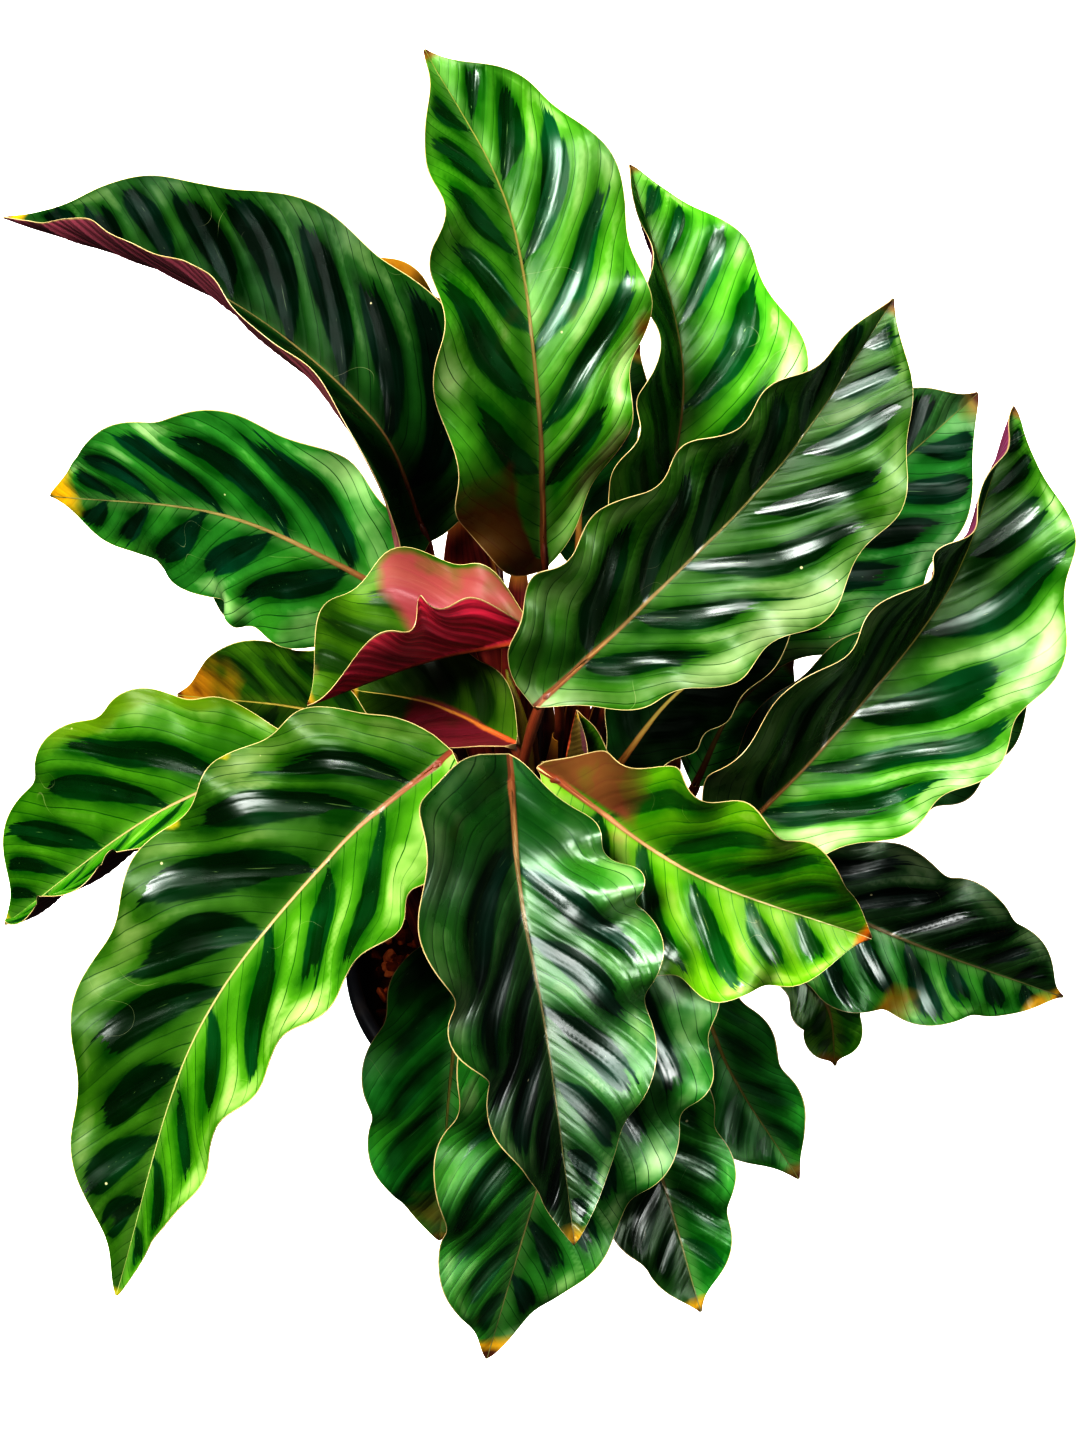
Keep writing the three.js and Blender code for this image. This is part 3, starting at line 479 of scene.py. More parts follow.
def blade_markings(leaf, number, along, over):
    """Where each point lies among the side veins and dark patches in millimetres, and how it has aged."""
    steps = np.linspace(0, 1, 400)
    lengths = lengths_along(rib_curve(leaf["rib"], steps)[0])
    along_mm = np.interp(along, steps, lengths)
    side = (over > 0).astype(int)
    width = half_width(leaf, along, side)
    reach = np.abs(over)
    out = reach * width
    slant = leaf["slant"][0] + (leaf["slant"][1] - leaf["slant"][0]) * along
    vein = along_mm - slant * out - 0.22 * out * reach
    count, middle, step, odd = (np.zeros(len(along)) for _ in range(4))
    for half in (0, 1):
        here = side == half
        starts = np.array(leaf["patches"][half], float)
        gaps = np.diff(starts)
        ends = (starts[0] - 10 * gaps[0], *starts, starts[-1] + 10 * gaps[-1])
        counted = (-10, *range(len(starts)), len(starts) + 9)
        count[here] = veins_a_step * np.interp(vein[here], ends, counted)
        nearest = np.abs(vein[here][:, None] - starts).argmin(1)
        middle[here] = np.abs(vein[here] - starts[nearest])
        step[here] = np.interp(vein[here], (starts[1:] + starts[:-1]) / 2, gaps)
        # Each patch has a number of its own from 0 to 1, the same in every run.
        chance = np.sin(nearest * 12.9898 + half * 78.233 + number * 37.719) * 43758.5453
        odd[here] = chance - np.floor(chance)

    # A patch: a narrow neck, a body widest at two thirds and a blunt end, each a little its own.
    far = 0.78 + 0.26 * (odd - 0.5)
    inner = (reach / far).clip(0, 1)
    swollen = np.sin(inner / 0.66 * math.pi / 2) ** 0.95
    body = np.where(inner < 0.66, swollen, 1 - 0.5 * ((inner - 0.66) / 0.34) ** 2)
    body = np.maximum(body, 0.16 * (1 - inner))
    patch_half = step * (np.array(leaf["spread"])[side] + 0.12 * ((7.3 * odd) % 1 - 0.5))
    patch_side = patch_half * body - middle
    patch_end = (far - reach) * width

    # The ground between the patches, and each half's tone: partly its own depth of green, partly painted
    # light and shade.
    open_ground = patch_half * body * 0.9
    plain = np.array(leaf["ground"])[side]
    gap = ((middle - open_ground) / (step / 2 - open_ground)).clip(0, 1)
    between = gap * gap * (3 - 2 * gap) * (0.3 + 0.6 * reach)
    beyond = ((reach - far + 0.06) / 0.2).clip(0, 1) * (1 - 0.35 * gap)
    rim = 1 - 0.4 * ((reach - 0.9) / 0.1).clip(0, 1)
    left, right = leaf["tone"]
    near_rib = (over / 0.1).clip(-0.5, 0.5)
    ageing = 1 - (1 - along) * lengths[-1] / coats[leaf["coat"]]["tip"][1]
    for at, beside, radius, strength in leaf["spots"]:
        away = np.hypot((along - at) * lengths[-1], (over - beside) * width)
        ageing = np.maximum(ageing, strength * (1.5 - away / radius))
    flush_and_shade = np.zeros(len(along))
    if leaf["flush_and_shade"]:
        _, reached, start, end = leaf["flush_and_shade"]
        flush_and_shade = ((reached - along) / 0.12).clip(0, 1) * ((over - start) / 0.1 + 1).clip(0, 1)
        flush_and_shade *= ((end - over) / 0.15 + 0.5).clip(0, 1)
    return {
        "vein_place": np.stack((count, out * np.sign(over), along_mm), 1),
        "patch_place": np.stack((middle, patch_side, patch_end), 1),
        "ground_light": plain * (0.16 + 0.84 * np.maximum(between, beyond)) * rim * (1 - 0.2 * along ** 3),
        "patch_depth": 0.4 + 0.6 * ((plain - 0.4) / 0.3).clip(0, 1),
        "painted_light_and_shade_tone": left + (right - left) * (0.5 + near_rib),
        "margin_mm": (1 - reach) * np.maximum(width, 11), "ageing": ageing.clip(-1, 1.3), "flush_and_shade": flush_and_shade}


def cut_blade(rows, columns, slots=(0, 1, 2)):
    """A flat blade: two sheets of one grid, x from -1 to 1 and y from 0 to 1, closed round the edge."""
    shape = bmesh.new()
    shape.loops.layers.uv.new("blade")
    bmesh.ops.create_grid(shape, x_segments=columns, y_segments=rows, size=1, calc_uvs=True,
                          matrix=Matrix.Diagonal((1, 0.5, 1, 1)))
    bmesh.ops.translate(shape, vec=(0, 0.5, 0), verts=shape.verts)
    upper = list(shape.faces)
    lower = bmesh.ops.duplicate(shape, geom=list(shape.verts) + list(shape.edges) + upper)["geom"]
    lower_faces = [g for g in lower if isinstance(g, bmesh.types.BMFace)]
    bmesh.ops.translate(shape, vec=(0, 0, -1), verts=[g for g in lower if isinstance(g, bmesh.types.BMVert)])
    bmesh.ops.reverse_faces(shape, faces=lower_faces)
    open_edges = [e for e in shape.edges if e.is_boundary]
    rim = bmesh.ops.bridge_loops(shape, edges=open_edges)["faces"]
    for slot, faces in zip(slots, (upper, lower_faces, rim)):
        for face in faces:
            face.material_index = slot
    for edge in open_edges:
        edge.smooth = False
    bmesh.ops.recalc_face_normals(shape, faces=shape.faces)
    return shape


# The under colours of the bright, dark and newest coats are brighter than the real maroon: painted light that
# stands in for the light the undersides lack.
coats = {
    "bright": dict(light="#c4e29c", fresh="#54902a", deep="#1c5c0a", dark="#02360a", jade="#0c5a30",
                   under="#9a4a72", wax=0.25, rib=("#98603a", "#ac9460", "#9cac58"), tip=("#8a6a20", 4)),
    "fresh": dict(light="#cae690", fresh="#5c9824", deep="#1e600a", dark="#04380a", jade="#0c5a28",
                  under="#7a3a34", wax=0.25, rib=("#8c4c38", "#bea078", "#b8c880"), tip=("#a8a020", 4)),
    "dark": dict(light="#b6d896", fresh="#3c8034", deep="#104c14", dark="#022a12", jade="#0a4a32",
                 under="#b86474", wax=0.27, rib=("#885636", "#a08a5c", "#929c66"), tip=("#e0b020", 7)),
    # A darker copy of the greens: painted shade for leaves that sit in shade.
    "shade": dict(light="#90b082", fresh="#2a6c2c", deep="#0c3e12", dark="#021a0a", jade="#0a3a26",
                  under="#5a2436", wax=0.42, rib=("#8a5a2c", "#9a8a4e", "#7f9050"), tip=("#8e7c3a", 6)),
    "olive": dict(light="#b0b254", fresh="#527a1c", deep="#204e0c", dark="#08280c", jade="#1c4614",
                  under="#6c2c2c", wax=0.4, rib=("#a8642c", "#b09050", "#9aa050"), tip=("#a87a20", 8)),
    "young": dict(light="#dae88c", fresh="#7cb41c", deep="#34800c", dark="#0a4c0c", jade="#146a26",
                  under="#84343a", wax=0.28, rib=("#a05c40", "#cca478", "#dcdca4"), tip=("#d07c1c", 5)),
    "newest": dict(light="#a8d04a", fresh="#6d9a24", deep="#3f6c16", dark="#2a5212", jade="#2a5a1a",
                   under="#ee4868", wax=0.36, rib=("#c0603c", "#c98a48", "#c8c070"), tip=("#a88a28", 3)),
}
blend, eased = dict(data_type="RGBA"), dict(interpolation_type="SMOOTHSTEP")


def waxy_upper(leaf, number):
    """The upper skin: a waxy green cuticle over feathered patches, side veins, midrib and pale margin."""
    coat = coats[leaf["coat"]]
    light, deep, dark, jade = (paint(coat[layer]) for layer in ("light", "deep", "dark", "jade"))
    skin = new_material("waxy_upper_of_" + leaf["name"])
    place, patch, share = (add(skin, "Attribute", take="Vector", attribute_name=field)
                           for field in ("vein_place", "patch_place", "leaf_share"))
    vein_count, out_mm, _ = add(skin, "SeparateXYZ", {0: place}).node.outputs
    from_middle, side, end = add(skin, "SeparateXYZ", {0: patch}).node.outputs
    along, _, off_midrib = add(skin, "SeparateXYZ", {0: share}).node.outputs
    lit, tone, margin, ageing, dense = (
        add(skin, "Attribute", take="Fac", attribute_name=field)
        for field in ("ground_light", "painted_light_and_shade_tone", "margin_mm", "ageing", "patch_depth"))
    where = add(skin, "TexCoord", take="Object")
    cloudy = add(skin, "TexNoise", {"Vector": where, "Scale": 42, "Detail": 3})

    # Cells stand in rows beside the side veins, which combs every edge and sheen along them.
    combed = add(skin, "Mapping", {
        "Vector": place, "Location": (number * 5.3, 0, number * 2.1), "Scale": (2.2, 0.06, 0)})
    streaks = add(skin, "TexNoise", {"Vector": combed, "Scale": 1, "Detail": 3})
    combed = add(skin, "Mapping", {
        "Vector": place, "Location": (0, number * 3.7, 0), "Scale": (5.5, 0.26, 0)})
    fine = add(skin, "TexNoise", {"Vector": combed, "Scale": 1, "Detail": 2})

    # Each strip between two side veins grew by itself, so it has its own depth of green along it.
    waver = add(skin, "Math", {0: cloudy, 1: 0.7, 2: vein_count}, operation="MULTIPLY_ADD")
    strip = add(skin, "Math", {0: waver}, operation="FLOOR")
    strip = add(skin, "CombineXYZ", {0: strip, 1: out_mm})
    strip = add(skin, "Mapping", {
        "Vector": strip, "Location": (number * 7.7, 0, 0), "Scale": (3.37, 0.05, 0)})
    strip = add(skin, "TexNoise", {"Vector": strip, "Scale": 1, "Detail": 1})

    # The dark patches: a narrow neck at the midrib, a wide blunt end, and every strip ending on its own.
    for part, weight in ((streaks, 3.4), (cloudy, 8), (fine, 1.6)):
        side = add(skin, "Math", {0: part, 1: weight, 2: side}, operation="MULTIPLY_ADD")
    for part, weight in ((strip, 16), (streaks, 7), (fine, 9)):
        end = add(skin, "Math", {0: part, 1: weight, 2: end}, operation="MULTIPLY_ADD")
    side = add(skin, "Math", {0: side, 1: 6.5}, operation="SUBTRACT")
    end = add(skin, "Math", {0: end, 1: 16}, operation="SUBTRACT")
    inside = add(skin, "Math", {0: side, 1: end}, operation="MINIMUM")
    blurred = add(skin, "MapRange", {0: cloudy, 1: 0.42, 2: 0.62, 3: 0.2, 4: 1.4})
    patched = add(skin, "MapRange", {0: inside, 1: -0.5, 2: blurred, 4: dense}, **eased)
    dusky = add(skin, "Math", {0: strip, 1: cloudy}, operation="ADD")
    dusky = add(skin, "MapRange", {0: dusky, 1: 0.9, 2: 1.3, 4: 0.9})
    blotch = add(skin, "Mix", {0: dusky, 6: dark, 7: jade}, **blend)

    # The ground between them: light in the middle of the gap and past a patch's end, deep beside it.
    pale = lit
    for part, weight in ((cloudy, 1.3), (strip, 0.22), (streaks, 0.06)):
        pale = add(skin, "Math", {0: part, 1: weight, 2: pale}, operation="MULTIPLY_ADD")
    pale = add(skin, "Math", {0: pale, 1: 0.84}, operation="SUBTRACT")
    green = lay_colours(add(skin, "ValToRGB", {0: pale}),
                        (0, coat["deep"]), (0.48, coat["fresh"]), (1, coat["light"]))
    slow = add(skin, "TexNoise", {"Vector": where, "Scale": 24, "Detail": 2})
    sunned = add(skin, "MapRange", {0: slow, 1: 0.48, 2: 0.66, 4: 0.38})
    sunned = add(skin, "Math", {0: sunned, 1: lit}, operation="MULTIPLY")
    # A painted sheen: a faint pale band of the light green 1 to 5 mm beside the midrib.
    off_rib = add(skin, "Math", {0: out_mm}, operation="ABSOLUTE")
    beside = add(skin, "MapRange", {0: off_rib, 1: 1, 2: 5, 3: 0.1, 4: 0}, **eased)

    # The side veins: thin sunk lines a little wavering, faint in the patches, where the chief one is pale.
    apart = add(skin, "Math", {0: waver, 1: 0.5}, operation="PINGPONG")
    lined = add(skin, "MapRange", {0: apart, 1: 0.015, 2: 0.055, 3: 1, 4: 0}, **eased)
    seen = add(skin, "MapRange", {0: streaks, 1: 0.38, 2: 0.56, 3: 0.35, 4: 0.95})
    lined = add(skin, "Math", {0: lined, 1: seen}, operation="MULTIPLY")
    chief = add(skin, "MapRange", {0: from_middle, 1: 0.1, 2: 0.3, 3: 0.3, 4: 0})
    chief = add(skin, "Math", {0: chief, 1: patched}, operation="MULTIPLY")
    for layer, colour in (
            (sunned, paint("#6aa808")), (beside, light), (lined, deep), (patched, blotch), (chief, light)):
        green = add(skin, "Mix", {0: layer, 6: green, 7: colour}, **blend)
    # The flush_and_shade: a colour laid near the stalk, mostly red juice, on leaf_front_middle painted shade.
    if leaf["flush_and_shade"]:
        flushed = add(skin, "Attribute", take="Fac", attribute_name="flush_and_shade")
        stained = add(skin, "Math", {0: cloudy, 1: 2, 2: flushed}, operation="MULTIPLY_ADD")
        stained = add(skin, "MapRange", {0: stained, 1: 1.35, 2: 1.9, 4: 0.85})
        green = add(skin, "Mix", {0: stained, 6: green, 7: paint(leaf["flush_and_shade"][0])}, **blend)
    # Each half is made paler or darker by its tone: partly its own green, partly painted light and shade.
    green = add(skin, "VectorMath", {0: green, "Scale": tone}, operation="SCALE")
    green = add(skin, "VectorMath", {0: green, 1: (0.8, 0.85, 0.8)}, operation="MINIMUM")

    # Old tips, margins and spots go yellow, then brown and dry.
    worn = add(skin, "Math", {0: cloudy, 1: 1.6, 2: ageing}, operation="MULTIPLY_ADD")
    worn = add(skin, "Math", {0: worn, 1: 0.8}, operation="SUBTRACT")
    yellowed = add(skin, "MapRange", {0: worn, 1: 0, 2: 0.45})
    browned = add(skin, "MapRange", {0: worn, 1: 0.55, 2: 0.85})

    # The midrib: terracotta at the stalk, straw further on and green at the tip, with painted shade in brown
    # on its flanks.
    ribbed = add(skin, "MapRange", {0: off_midrib, 1: 0.8, 2: 1.2, 3: 1, 4: 0}, **eased)
    rib = lay_colours(add(skin, "ValToRGB", {0: along}), *zip((0, 0.3, 1), coat["rib"]))
    # Painted shade: the rib darkens to brown towards its flanks.
    painted_flank_shade = add(skin, "MapRange", {0: off_midrib, 1: 0.35, 2: 1, 4: 0.55})
    rib = add(skin, "Mix", {0: painted_flank_shade, 6: rib, 7: paint("#6e3a1c")}, **blend)
    edged = add(skin, "MapRange", {0: margin, 1: 0.12, 2: 0.36, 3: 0.9, 4: 0})

    # Dry specks a millimetre or less, and fine scratches where leaves have rubbed.
    dots = add(skin, "TexVoronoi", {"Vector": where, "Scale": 95}, voronoi_dimensions="3D")
    chosen = add(skin, "SeparateColor", {0: dots.node.outputs["Color"]})
    chosen = add(skin, "Math", {0: chosen, 1: 0.86}, operation="GREATER_THAN")
    dots = add(skin, "MapRange", {0: dots, 1: 0.03, 2: 0.055, 3: 0.85, 4: 0})
    dots = add(skin, "Math", {0: dots, 1: chosen}, operation="MULTIPLY")
    scrape = add(skin, "TexNoise", {"Vector": where, "Scale": 60, "Detail": 0})
    scrape = add(skin, "Math", {0: scrape, 1: 0.5}, operation="SUBTRACT")
    scrape = add(skin, "Math", {0: scrape}, operation="ABSOLUTE")
    scrape = add(skin, "MapRange", {0: scrape, 1: 0.001, 2: 0.003, 3: 0.18, 4: 0})
    rubbed = add(skin, "TexNoise", {"Vector": where, "Scale": 38, "Detail": 0})
    rubbed = add(skin, "MapRange", {0: rubbed, 1: 0.68, 2: 0.74})
    scrape = add(skin, "Math", {0: scrape, 1: rubbed}, operation="MULTIPLY")
    marks = add(skin, "Math", {0: dots, 1: scrape}, operation="MAXIMUM")
    for layer, colour in (
            (yellowed, paint(coat["tip"][0])), (browned, paint("#5c3014")), (ribbed, rib),
            (edged, paint("#e2cf96")), (marks, paint("#d9cfa0"))):
        green = add(skin, "Mix", {0: layer, 6: green, 7: colour}, **blend)

    # The wax: it mirrors along the middle of a patch, and is a dull haze on the light ground.
    sheen = coat["wax"] - 0.15
    for part, weight in ((streaks, 0.06), (cloudy, 0.3), (marks, 0.4), (yellowed, 0.2)):
        sheen = add(skin, "Math", {0: part, 1: weight, 2: sheen}, operation="MULTIPLY_ADD")
    waxed = from_middle
    for part, weight in ((streaks, 9), (fine, 3)):
        waxed = add(skin, "Math", {0: part, 1: weight, 2: waxed}, operation="MULTIPLY_ADD")
    waxed = add(skin, "MapRange", {0: waxed, 1: 8, 2: 10.5, 3: 1, 4: 0}, **eased)
    waxed = add(skin, "Math", {0: waxed, 1: patched}, operation="MULTIPLY")
    shine, film = leaf["shine"], leaf["film"]
    waxed = add(skin, "Math", {0: waxed, 1: (1.5 - film) * shine, 2: film * shine}, operation="MULTIPLY_ADD")
    hazed = add(skin, "Math", {0: patched, 1: -1, 2: 1}, operation="MULTIPLY_ADD")
    hazed = add(skin, "Math", {0: hazed, 1: pale}, operation="MULTIPLY", use_clamp=True)
    hazed = add(skin, "Math", {0: hazed, 1: shine}, operation="MULTIPLY")
    sunk = add(skin, "MapRange", {0: apart, 1: 0, 2: 0.32}, interpolation_type="SMOOTHERSTEP")
    sunk = add(skin, "Math", {0: fine, 1: 0.05, 2: sunk}, operation="MULTIPLY_ADD")
    relief = add(skin, "Bump", {"Strength": 0.5, "Distance": 0.00014, "Height": sunk})
    return finish_material(skin, add(skin, "BsdfPrincipled", {
        "Base Color": green, "Roughness": sheen, "IOR": 1.42, "Specular IOR Level": waxed,
        "Coat Weight": hazed, "Coat Roughness": 0.5, "Normal": relief}))


def maroon_under(leaf):
    """The underside: maroon from the red juice in its cells, set brighter as painted light, satin, with the
    veins standing out.
    """
    coat = coats[leaf["coat"]]
    under = paint(leaf.get("under", coat["under"]))
    darker = (*(0.45 * part for part in under[:3]), 1)
    skin = new_material("maroon_underside_of_" + leaf["name"])
    place, share = (add(skin, "Attribute", take="Vector", attribute_name=field)
                    for field in ("vein_place", "leaf_share"))
    vein_count = add(skin, "SeparateXYZ", {0: place})
    off_midrib = add(skin, "SeparateXYZ", {0: share}, take="Z")
    margin = add(skin, "Attribute", take="Fac", attribute_name="margin_mm")
    where = add(skin, "TexCoord", take="Object")
    cloudy = add(skin, "TexNoise", {"Vector": where, "Scale": 50, "Detail": 4})
    combed = add(skin, "Mapping", {"Vector": place, "Scale": (4.32, 0.06, 0)})
    mixed = add(skin, "TexNoise", {"Vector": combed, "Scale": 1, "Detail": 3})
    mixed = add(skin, "Math", {0: mixed, 1: 1.2, 2: cloudy}, operation="MULTIPLY_ADD")
    mixed = add(skin, "MapRange", {0: mixed, 1: 0.8, 2: 1.5})
    apart = add(skin, "Math", {0: vein_count, 1: 0.5}, operation="PINGPONG")
    lined = add(skin, "MapRange", {0: apart, 1: 0.03, 2: 0.12, 3: 0.5, 4: 0})
    ribbed = add(skin, "MapRange", {0: off_midrib, 1: 0.9, 2: 1.6, 3: 1, 4: 0})
    edged = add(skin, "MapRange", {0: margin, 1: 0.3, 2: 0.75, 3: 1, 4: 0})
    maroon = under
    for layer, colour in (
            (mixed, darker), (lined, darker), (ribbed, paint(coat["rib"][0])), (edged, paint("#c9ae7c"))):
        maroon = add(skin, "Mix", {0: layer, 6: maroon, 7: colour}, **blend)
    sheen = add(skin, "Math", {0: cloudy, 1: 0.3, 2: 0.32}, operation="MULTIPLY_ADD")
    sunk = add(skin, "MapRange", {0: apart, 1: 0, 2: 0.5, 3: 1, 4: 0}, interpolation_type="SMOOTHERSTEP")
    relief = add(skin, "Bump", {"Strength": 0.8, "Distance": 0.00025, "Height": sunk})
    return finish_material(skin, add(skin, "BsdfPrincipled", {
        "Base Color": maroon, "Roughness": sheen, "IOR": 1.45, "Normal": relief}))


# The margin: a thin dry cord of cream cells that stiffens the wavy edge.
pale_margin = new_material("cream_leaf_margin")
where = add(pale_margin, "TexCoord", take="Object")
dry = add(pale_margin, "TexNoise", {"Vector": where, "Scale": 120, "Detail": 3})
cream = add(pale_margin, "Mix", {0: dry, 6: paint("#e6d8a8"), 7: paint("#b08a4a")}, **blend)
finish_material(pale_margin, add(pale_margin, "BsdfPrincipled", {"Base Color": cream, "Roughness": 0.45}))

# The stalk: smooth and waxy, maroon brown in the crown and terracotta where it meets the midrib, with
# fine fibres along it.
stalk_skin = new_material("waxy_maroon_stalk")
climb = add(stalk_skin, "Attribute", take="Vector", attribute_name="stalk_place")
where = add(stalk_skin, "TexCoord", take="Object")
height = add(stalk_skin, "SeparateXYZ", {0: climb}, take="Z")
fibres = add(stalk_skin, "Mapping", {"Vector": climb, "Scale": (9, 9, 4)})
fibres = add(stalk_skin, "TexNoise", {"Vector": fibres, "Scale": 1, "Detail": 3})
cloudy = add(stalk_skin, "TexNoise", {"Vector": where, "Scale": 60, "Detail": 3})
mixed = add(stalk_skin, "Math", {0: cloudy, 1: 0.5, 2: height}, operation="MULTIPLY_ADD")
browns = lay_colours(add(stalk_skin, "ValToRGB", {0: mixed}),
                     (0, "#4a5a24"), (0.45, "#4a1c1c"), (0.92, "#56241e"), (1, "#8a4a2e"))
tinted = add(stalk_skin, "MapRange", {0: fibres, 1: 0.4, 2: 0.7, 4: 0.5})
brown = add(stalk_skin, "Mix", {0: tinted, 6: browns, 7: paint("#2c1412")}, **blend)
relief = add(stalk_skin, "Bump", {"Strength": 0.5, "Distance": 0.0002, "Height": fibres})
finish_material(stalk_skin, add(stalk_skin, "BsdfPrincipled", {
    "Base Color": brown, "Roughness": 0.42, "Coat Weight": 0.15, "Normal": relief}))

# The sheath: the stalk's winged foot, thin and fibrous, maroon to terracotta, with a dry golden edge.
sheath_skin = new_material("papery_maroon_sheath")
clasped = add(sheath_skin, "Attribute", take="Vector", attribute_name="stalk_place")
across, _, height = add(sheath_skin, "SeparateXYZ", {0: clasped}).node.outputs
where = add(sheath_skin, "TexCoord", take="Object")
fibres = add(sheath_skin, "Mapping", {"Vector": clasped, "Scale": (8, 1, 1.5)})
fibres = add(sheath_skin, "TexNoise", {"Vector": fibres, "Scale": 1, "Detail": 4})
cloudy = add(sheath_skin, "TexNoise", {"Vector": where, "Scale": 55, "Detail": 3})
mixed = add(sheath_skin, "Math", {0: fibres, 1: 0.6, 2: cloudy}, operation="MULTIPLY_ADD")
browns = lay_colours(add(sheath_skin, "ValToRGB", {0: mixed}),
                     (0.5, "#240c0c"), (0.68, "#5e1c20"), (0.85, "#8c3c34"), (1, "#b4623e"))
edge = add(sheath_skin, "Math", {0: across}, operation="ABSOLUTE")
edge = add(sheath_skin, "Math", {0: edge, 1: height}, operation="MAXIMUM")
edge = add(sheath_skin, "MapRange", {0: edge, 1: 0.88, 2: 0.98})
brown = add(sheath_skin, "Mix", {0: edge, 6: browns, 7: paint("#b8883c")}, **blend)
relief = add(sheath_skin, "Bump", {"Strength": 0.6, "Distance": 0.0003, "Height": fibres})
finish_material(sheath_skin, add(sheath_skin, "BsdfPrincipled", {
    "Base Color": brown, "Roughness": 0.5, "Normal": relief}))

stalk_sides, stalk_rings, stalk_radius, rib_overrun = 12, 56, 2.5, 0.04
sheath_rows, sheath_columns, sheath_thickness, turn_a_leaf = 28, 14, 0.3, 2.4
hole_depth, seat_gap, seat_radius = 14, 0.3, 63.327


def cut_stalk(slot):
    """A stalk laid straight: a closed rod of unit radius, from z 0 to 1, in rings."""
    shape = bmesh.new()
    bmesh.ops.create_cone(shape, cap_ends=True, segments=stalk_sides, radius1=1, radius2=1, depth=1,
                          matrix=Matrix.Translation((0, 0, 0.5)))
    uprights = [e for e in shape.edges if abs(e.verts[0].co.z - e.verts[1].co.z) > 0.5]
    bmesh.ops.subdivide_edges(shape, edges=uprights, cuts=stalk_rings - 1, use_grid_fill=True)
    for face in shape.faces:
        face.material_index = slot
    return shape


def space_out(line, count):
    """The same line with its points evenly spaced, and its length."""
    lengths = lengths_along(line)
    steps = np.linspace(0, 1, count) * lengths[-1]
    return np.stack([np.interp(steps, lengths, line[:, k]) for k in range(3)], 1), lengths[-1]


def stalk_line(leaf):
    """The stalk's middle line, out of its hole, over to the blade and on into the midrib, and its length."""
    x, y = stalk_feet[leaf["name"]]
    ground = mix_dome(x, y, seat_radius)
    neck, heading = (row[0] for row in rib_curve(leaf["rib"], np.array([0.0])))
    inside_rib = rib_curve(leaf["rib"], np.array([rib_overrun]))[0][0]
    rise = neck[2] - ground
    surface = np.array((x, y, ground + 2))
    arrival = heading * 0.35 + np.array((0, 0, 0.65))
    arrival /= np.linalg.norm(arrival)
    t = np.linspace(0, 1, 120)[:, None]
    first, second = np.array((x, y, ground + rise * 0.45)), neck - arrival * rise * 0.25
    arc = surface * (1 - t) ** 3 + 3 * first * t * (1 - t) ** 2 + 3 * second * t * t * (1 - t) + neck * t ** 3
    return space_out(np.vstack((np.array((x, y, ground - hole_depth + seat_gap)), arc, inside_rib)), 80)


def lay_rod(flat, line, radius=np.ones_like):
    """Bends a straight unit rod, x and y across it and z along it from 0 to 1, round a line of points."""
    steps = np.linspace(0, 1, len(line))
    headings = np.gradient(line, axis=0)
    headings /= np.linalg.norm(headings, axis=1, keepdims=True)
    sideways = np.empty_like(line)
    sideways[0] = np.cross(headings[0], (0.3, 1, 0.1))
    for i in range(1, len(line)):
        sideways[i] = sideways[i - 1] - headings[i] * (sideways[i - 1] @ headings[i])
        sideways[i] /= np.linalg.norm(sideways[i])
    sideways[0] /= np.linalg.norm(sideways[0])
    other = np.cross(headings, sideways)
    at = [np.interp(flat[:, 2], steps, a) for a in (*line.T, *sideways.T, *other.T)]
    middle, u, v = (np.stack(at[i:i + 3], 1) for i in (0, 3, 6))
    size = radius(flat[:, 2])[:, None]
    return middle + u * flat[:, :1] * size + v * flat[:, 1:2] * size


def stalk_girth(z):
    """The stalk's radius from foot to end: it tapers, swells at the joint and thins out in the midrib."""
    joint = 0.35 * np.exp(-((z - 0.93) / 0.035) ** 2)
    return (stalk_radius - z + joint) * np.minimum(1, 0.3 + (1 - z) / 0.03)


def clasp(flat, line, length, sheath, turn):
    """Bends a flat sheet into the sheath: a gutter that clasps the stalk's foot and narrows up along it."""
    across, up_it, outer = flat[:, 0].clip(-1, 1), flat[:, 1].clip(0, 1), flat[:, 2] > -0.5
    foot, (top, wing) = (hole_depth + 0.5) / length, sheath
    rise = foot + up_it * (top - foot)
    opened = across * (2.5 - 1.5 * up_it ** 2) + turn
    belly = np.sin(math.pi * up_it ** 1.2) * wing * (0.6 + 0.4 * np.abs(across) ** 3)
    reach = stalk_radius - rise + seat_gap + belly + np.where(outer, sheath_thickness, 0)
    return lay_rod(np.stack((np.cos(opened) * reach, np.sin(opened) * reach, rise), 1), line)


def read_points(piece):
    """The points of a piece's mesh in millimetres."""
    flat = np.empty(len(piece.data.vertices) * 3, np.float32)
    piece.data.vertices.foreach_get("co", flat)
    return flat.reshape(-1, 3).astype(float) * 1000


def keep_floats(mesh, name, values):
    """Stores one number or one vector for every point of a mesh."""
    kind = "FLOAT_VECTOR" if values.ndim == 2 else "FLOAT"
    field = mesh.attributes.new(name, kind, "POINT")
    field.data.foreach_set("vector" if values.ndim == 2 else "value", values.astype(np.float32).ravel())


def move_points(piece, placed, stalk_place):
    """Moves the points of a piece's mesh, in millimetres, and keeps where each lies on its stalk."""
    piece.data.vertices.foreach_set("co", (placed / 1000).astype(np.float32).ravel())
    keep_floats(piece.data, "stalk_place", stalk_place)
    piece.data.update()


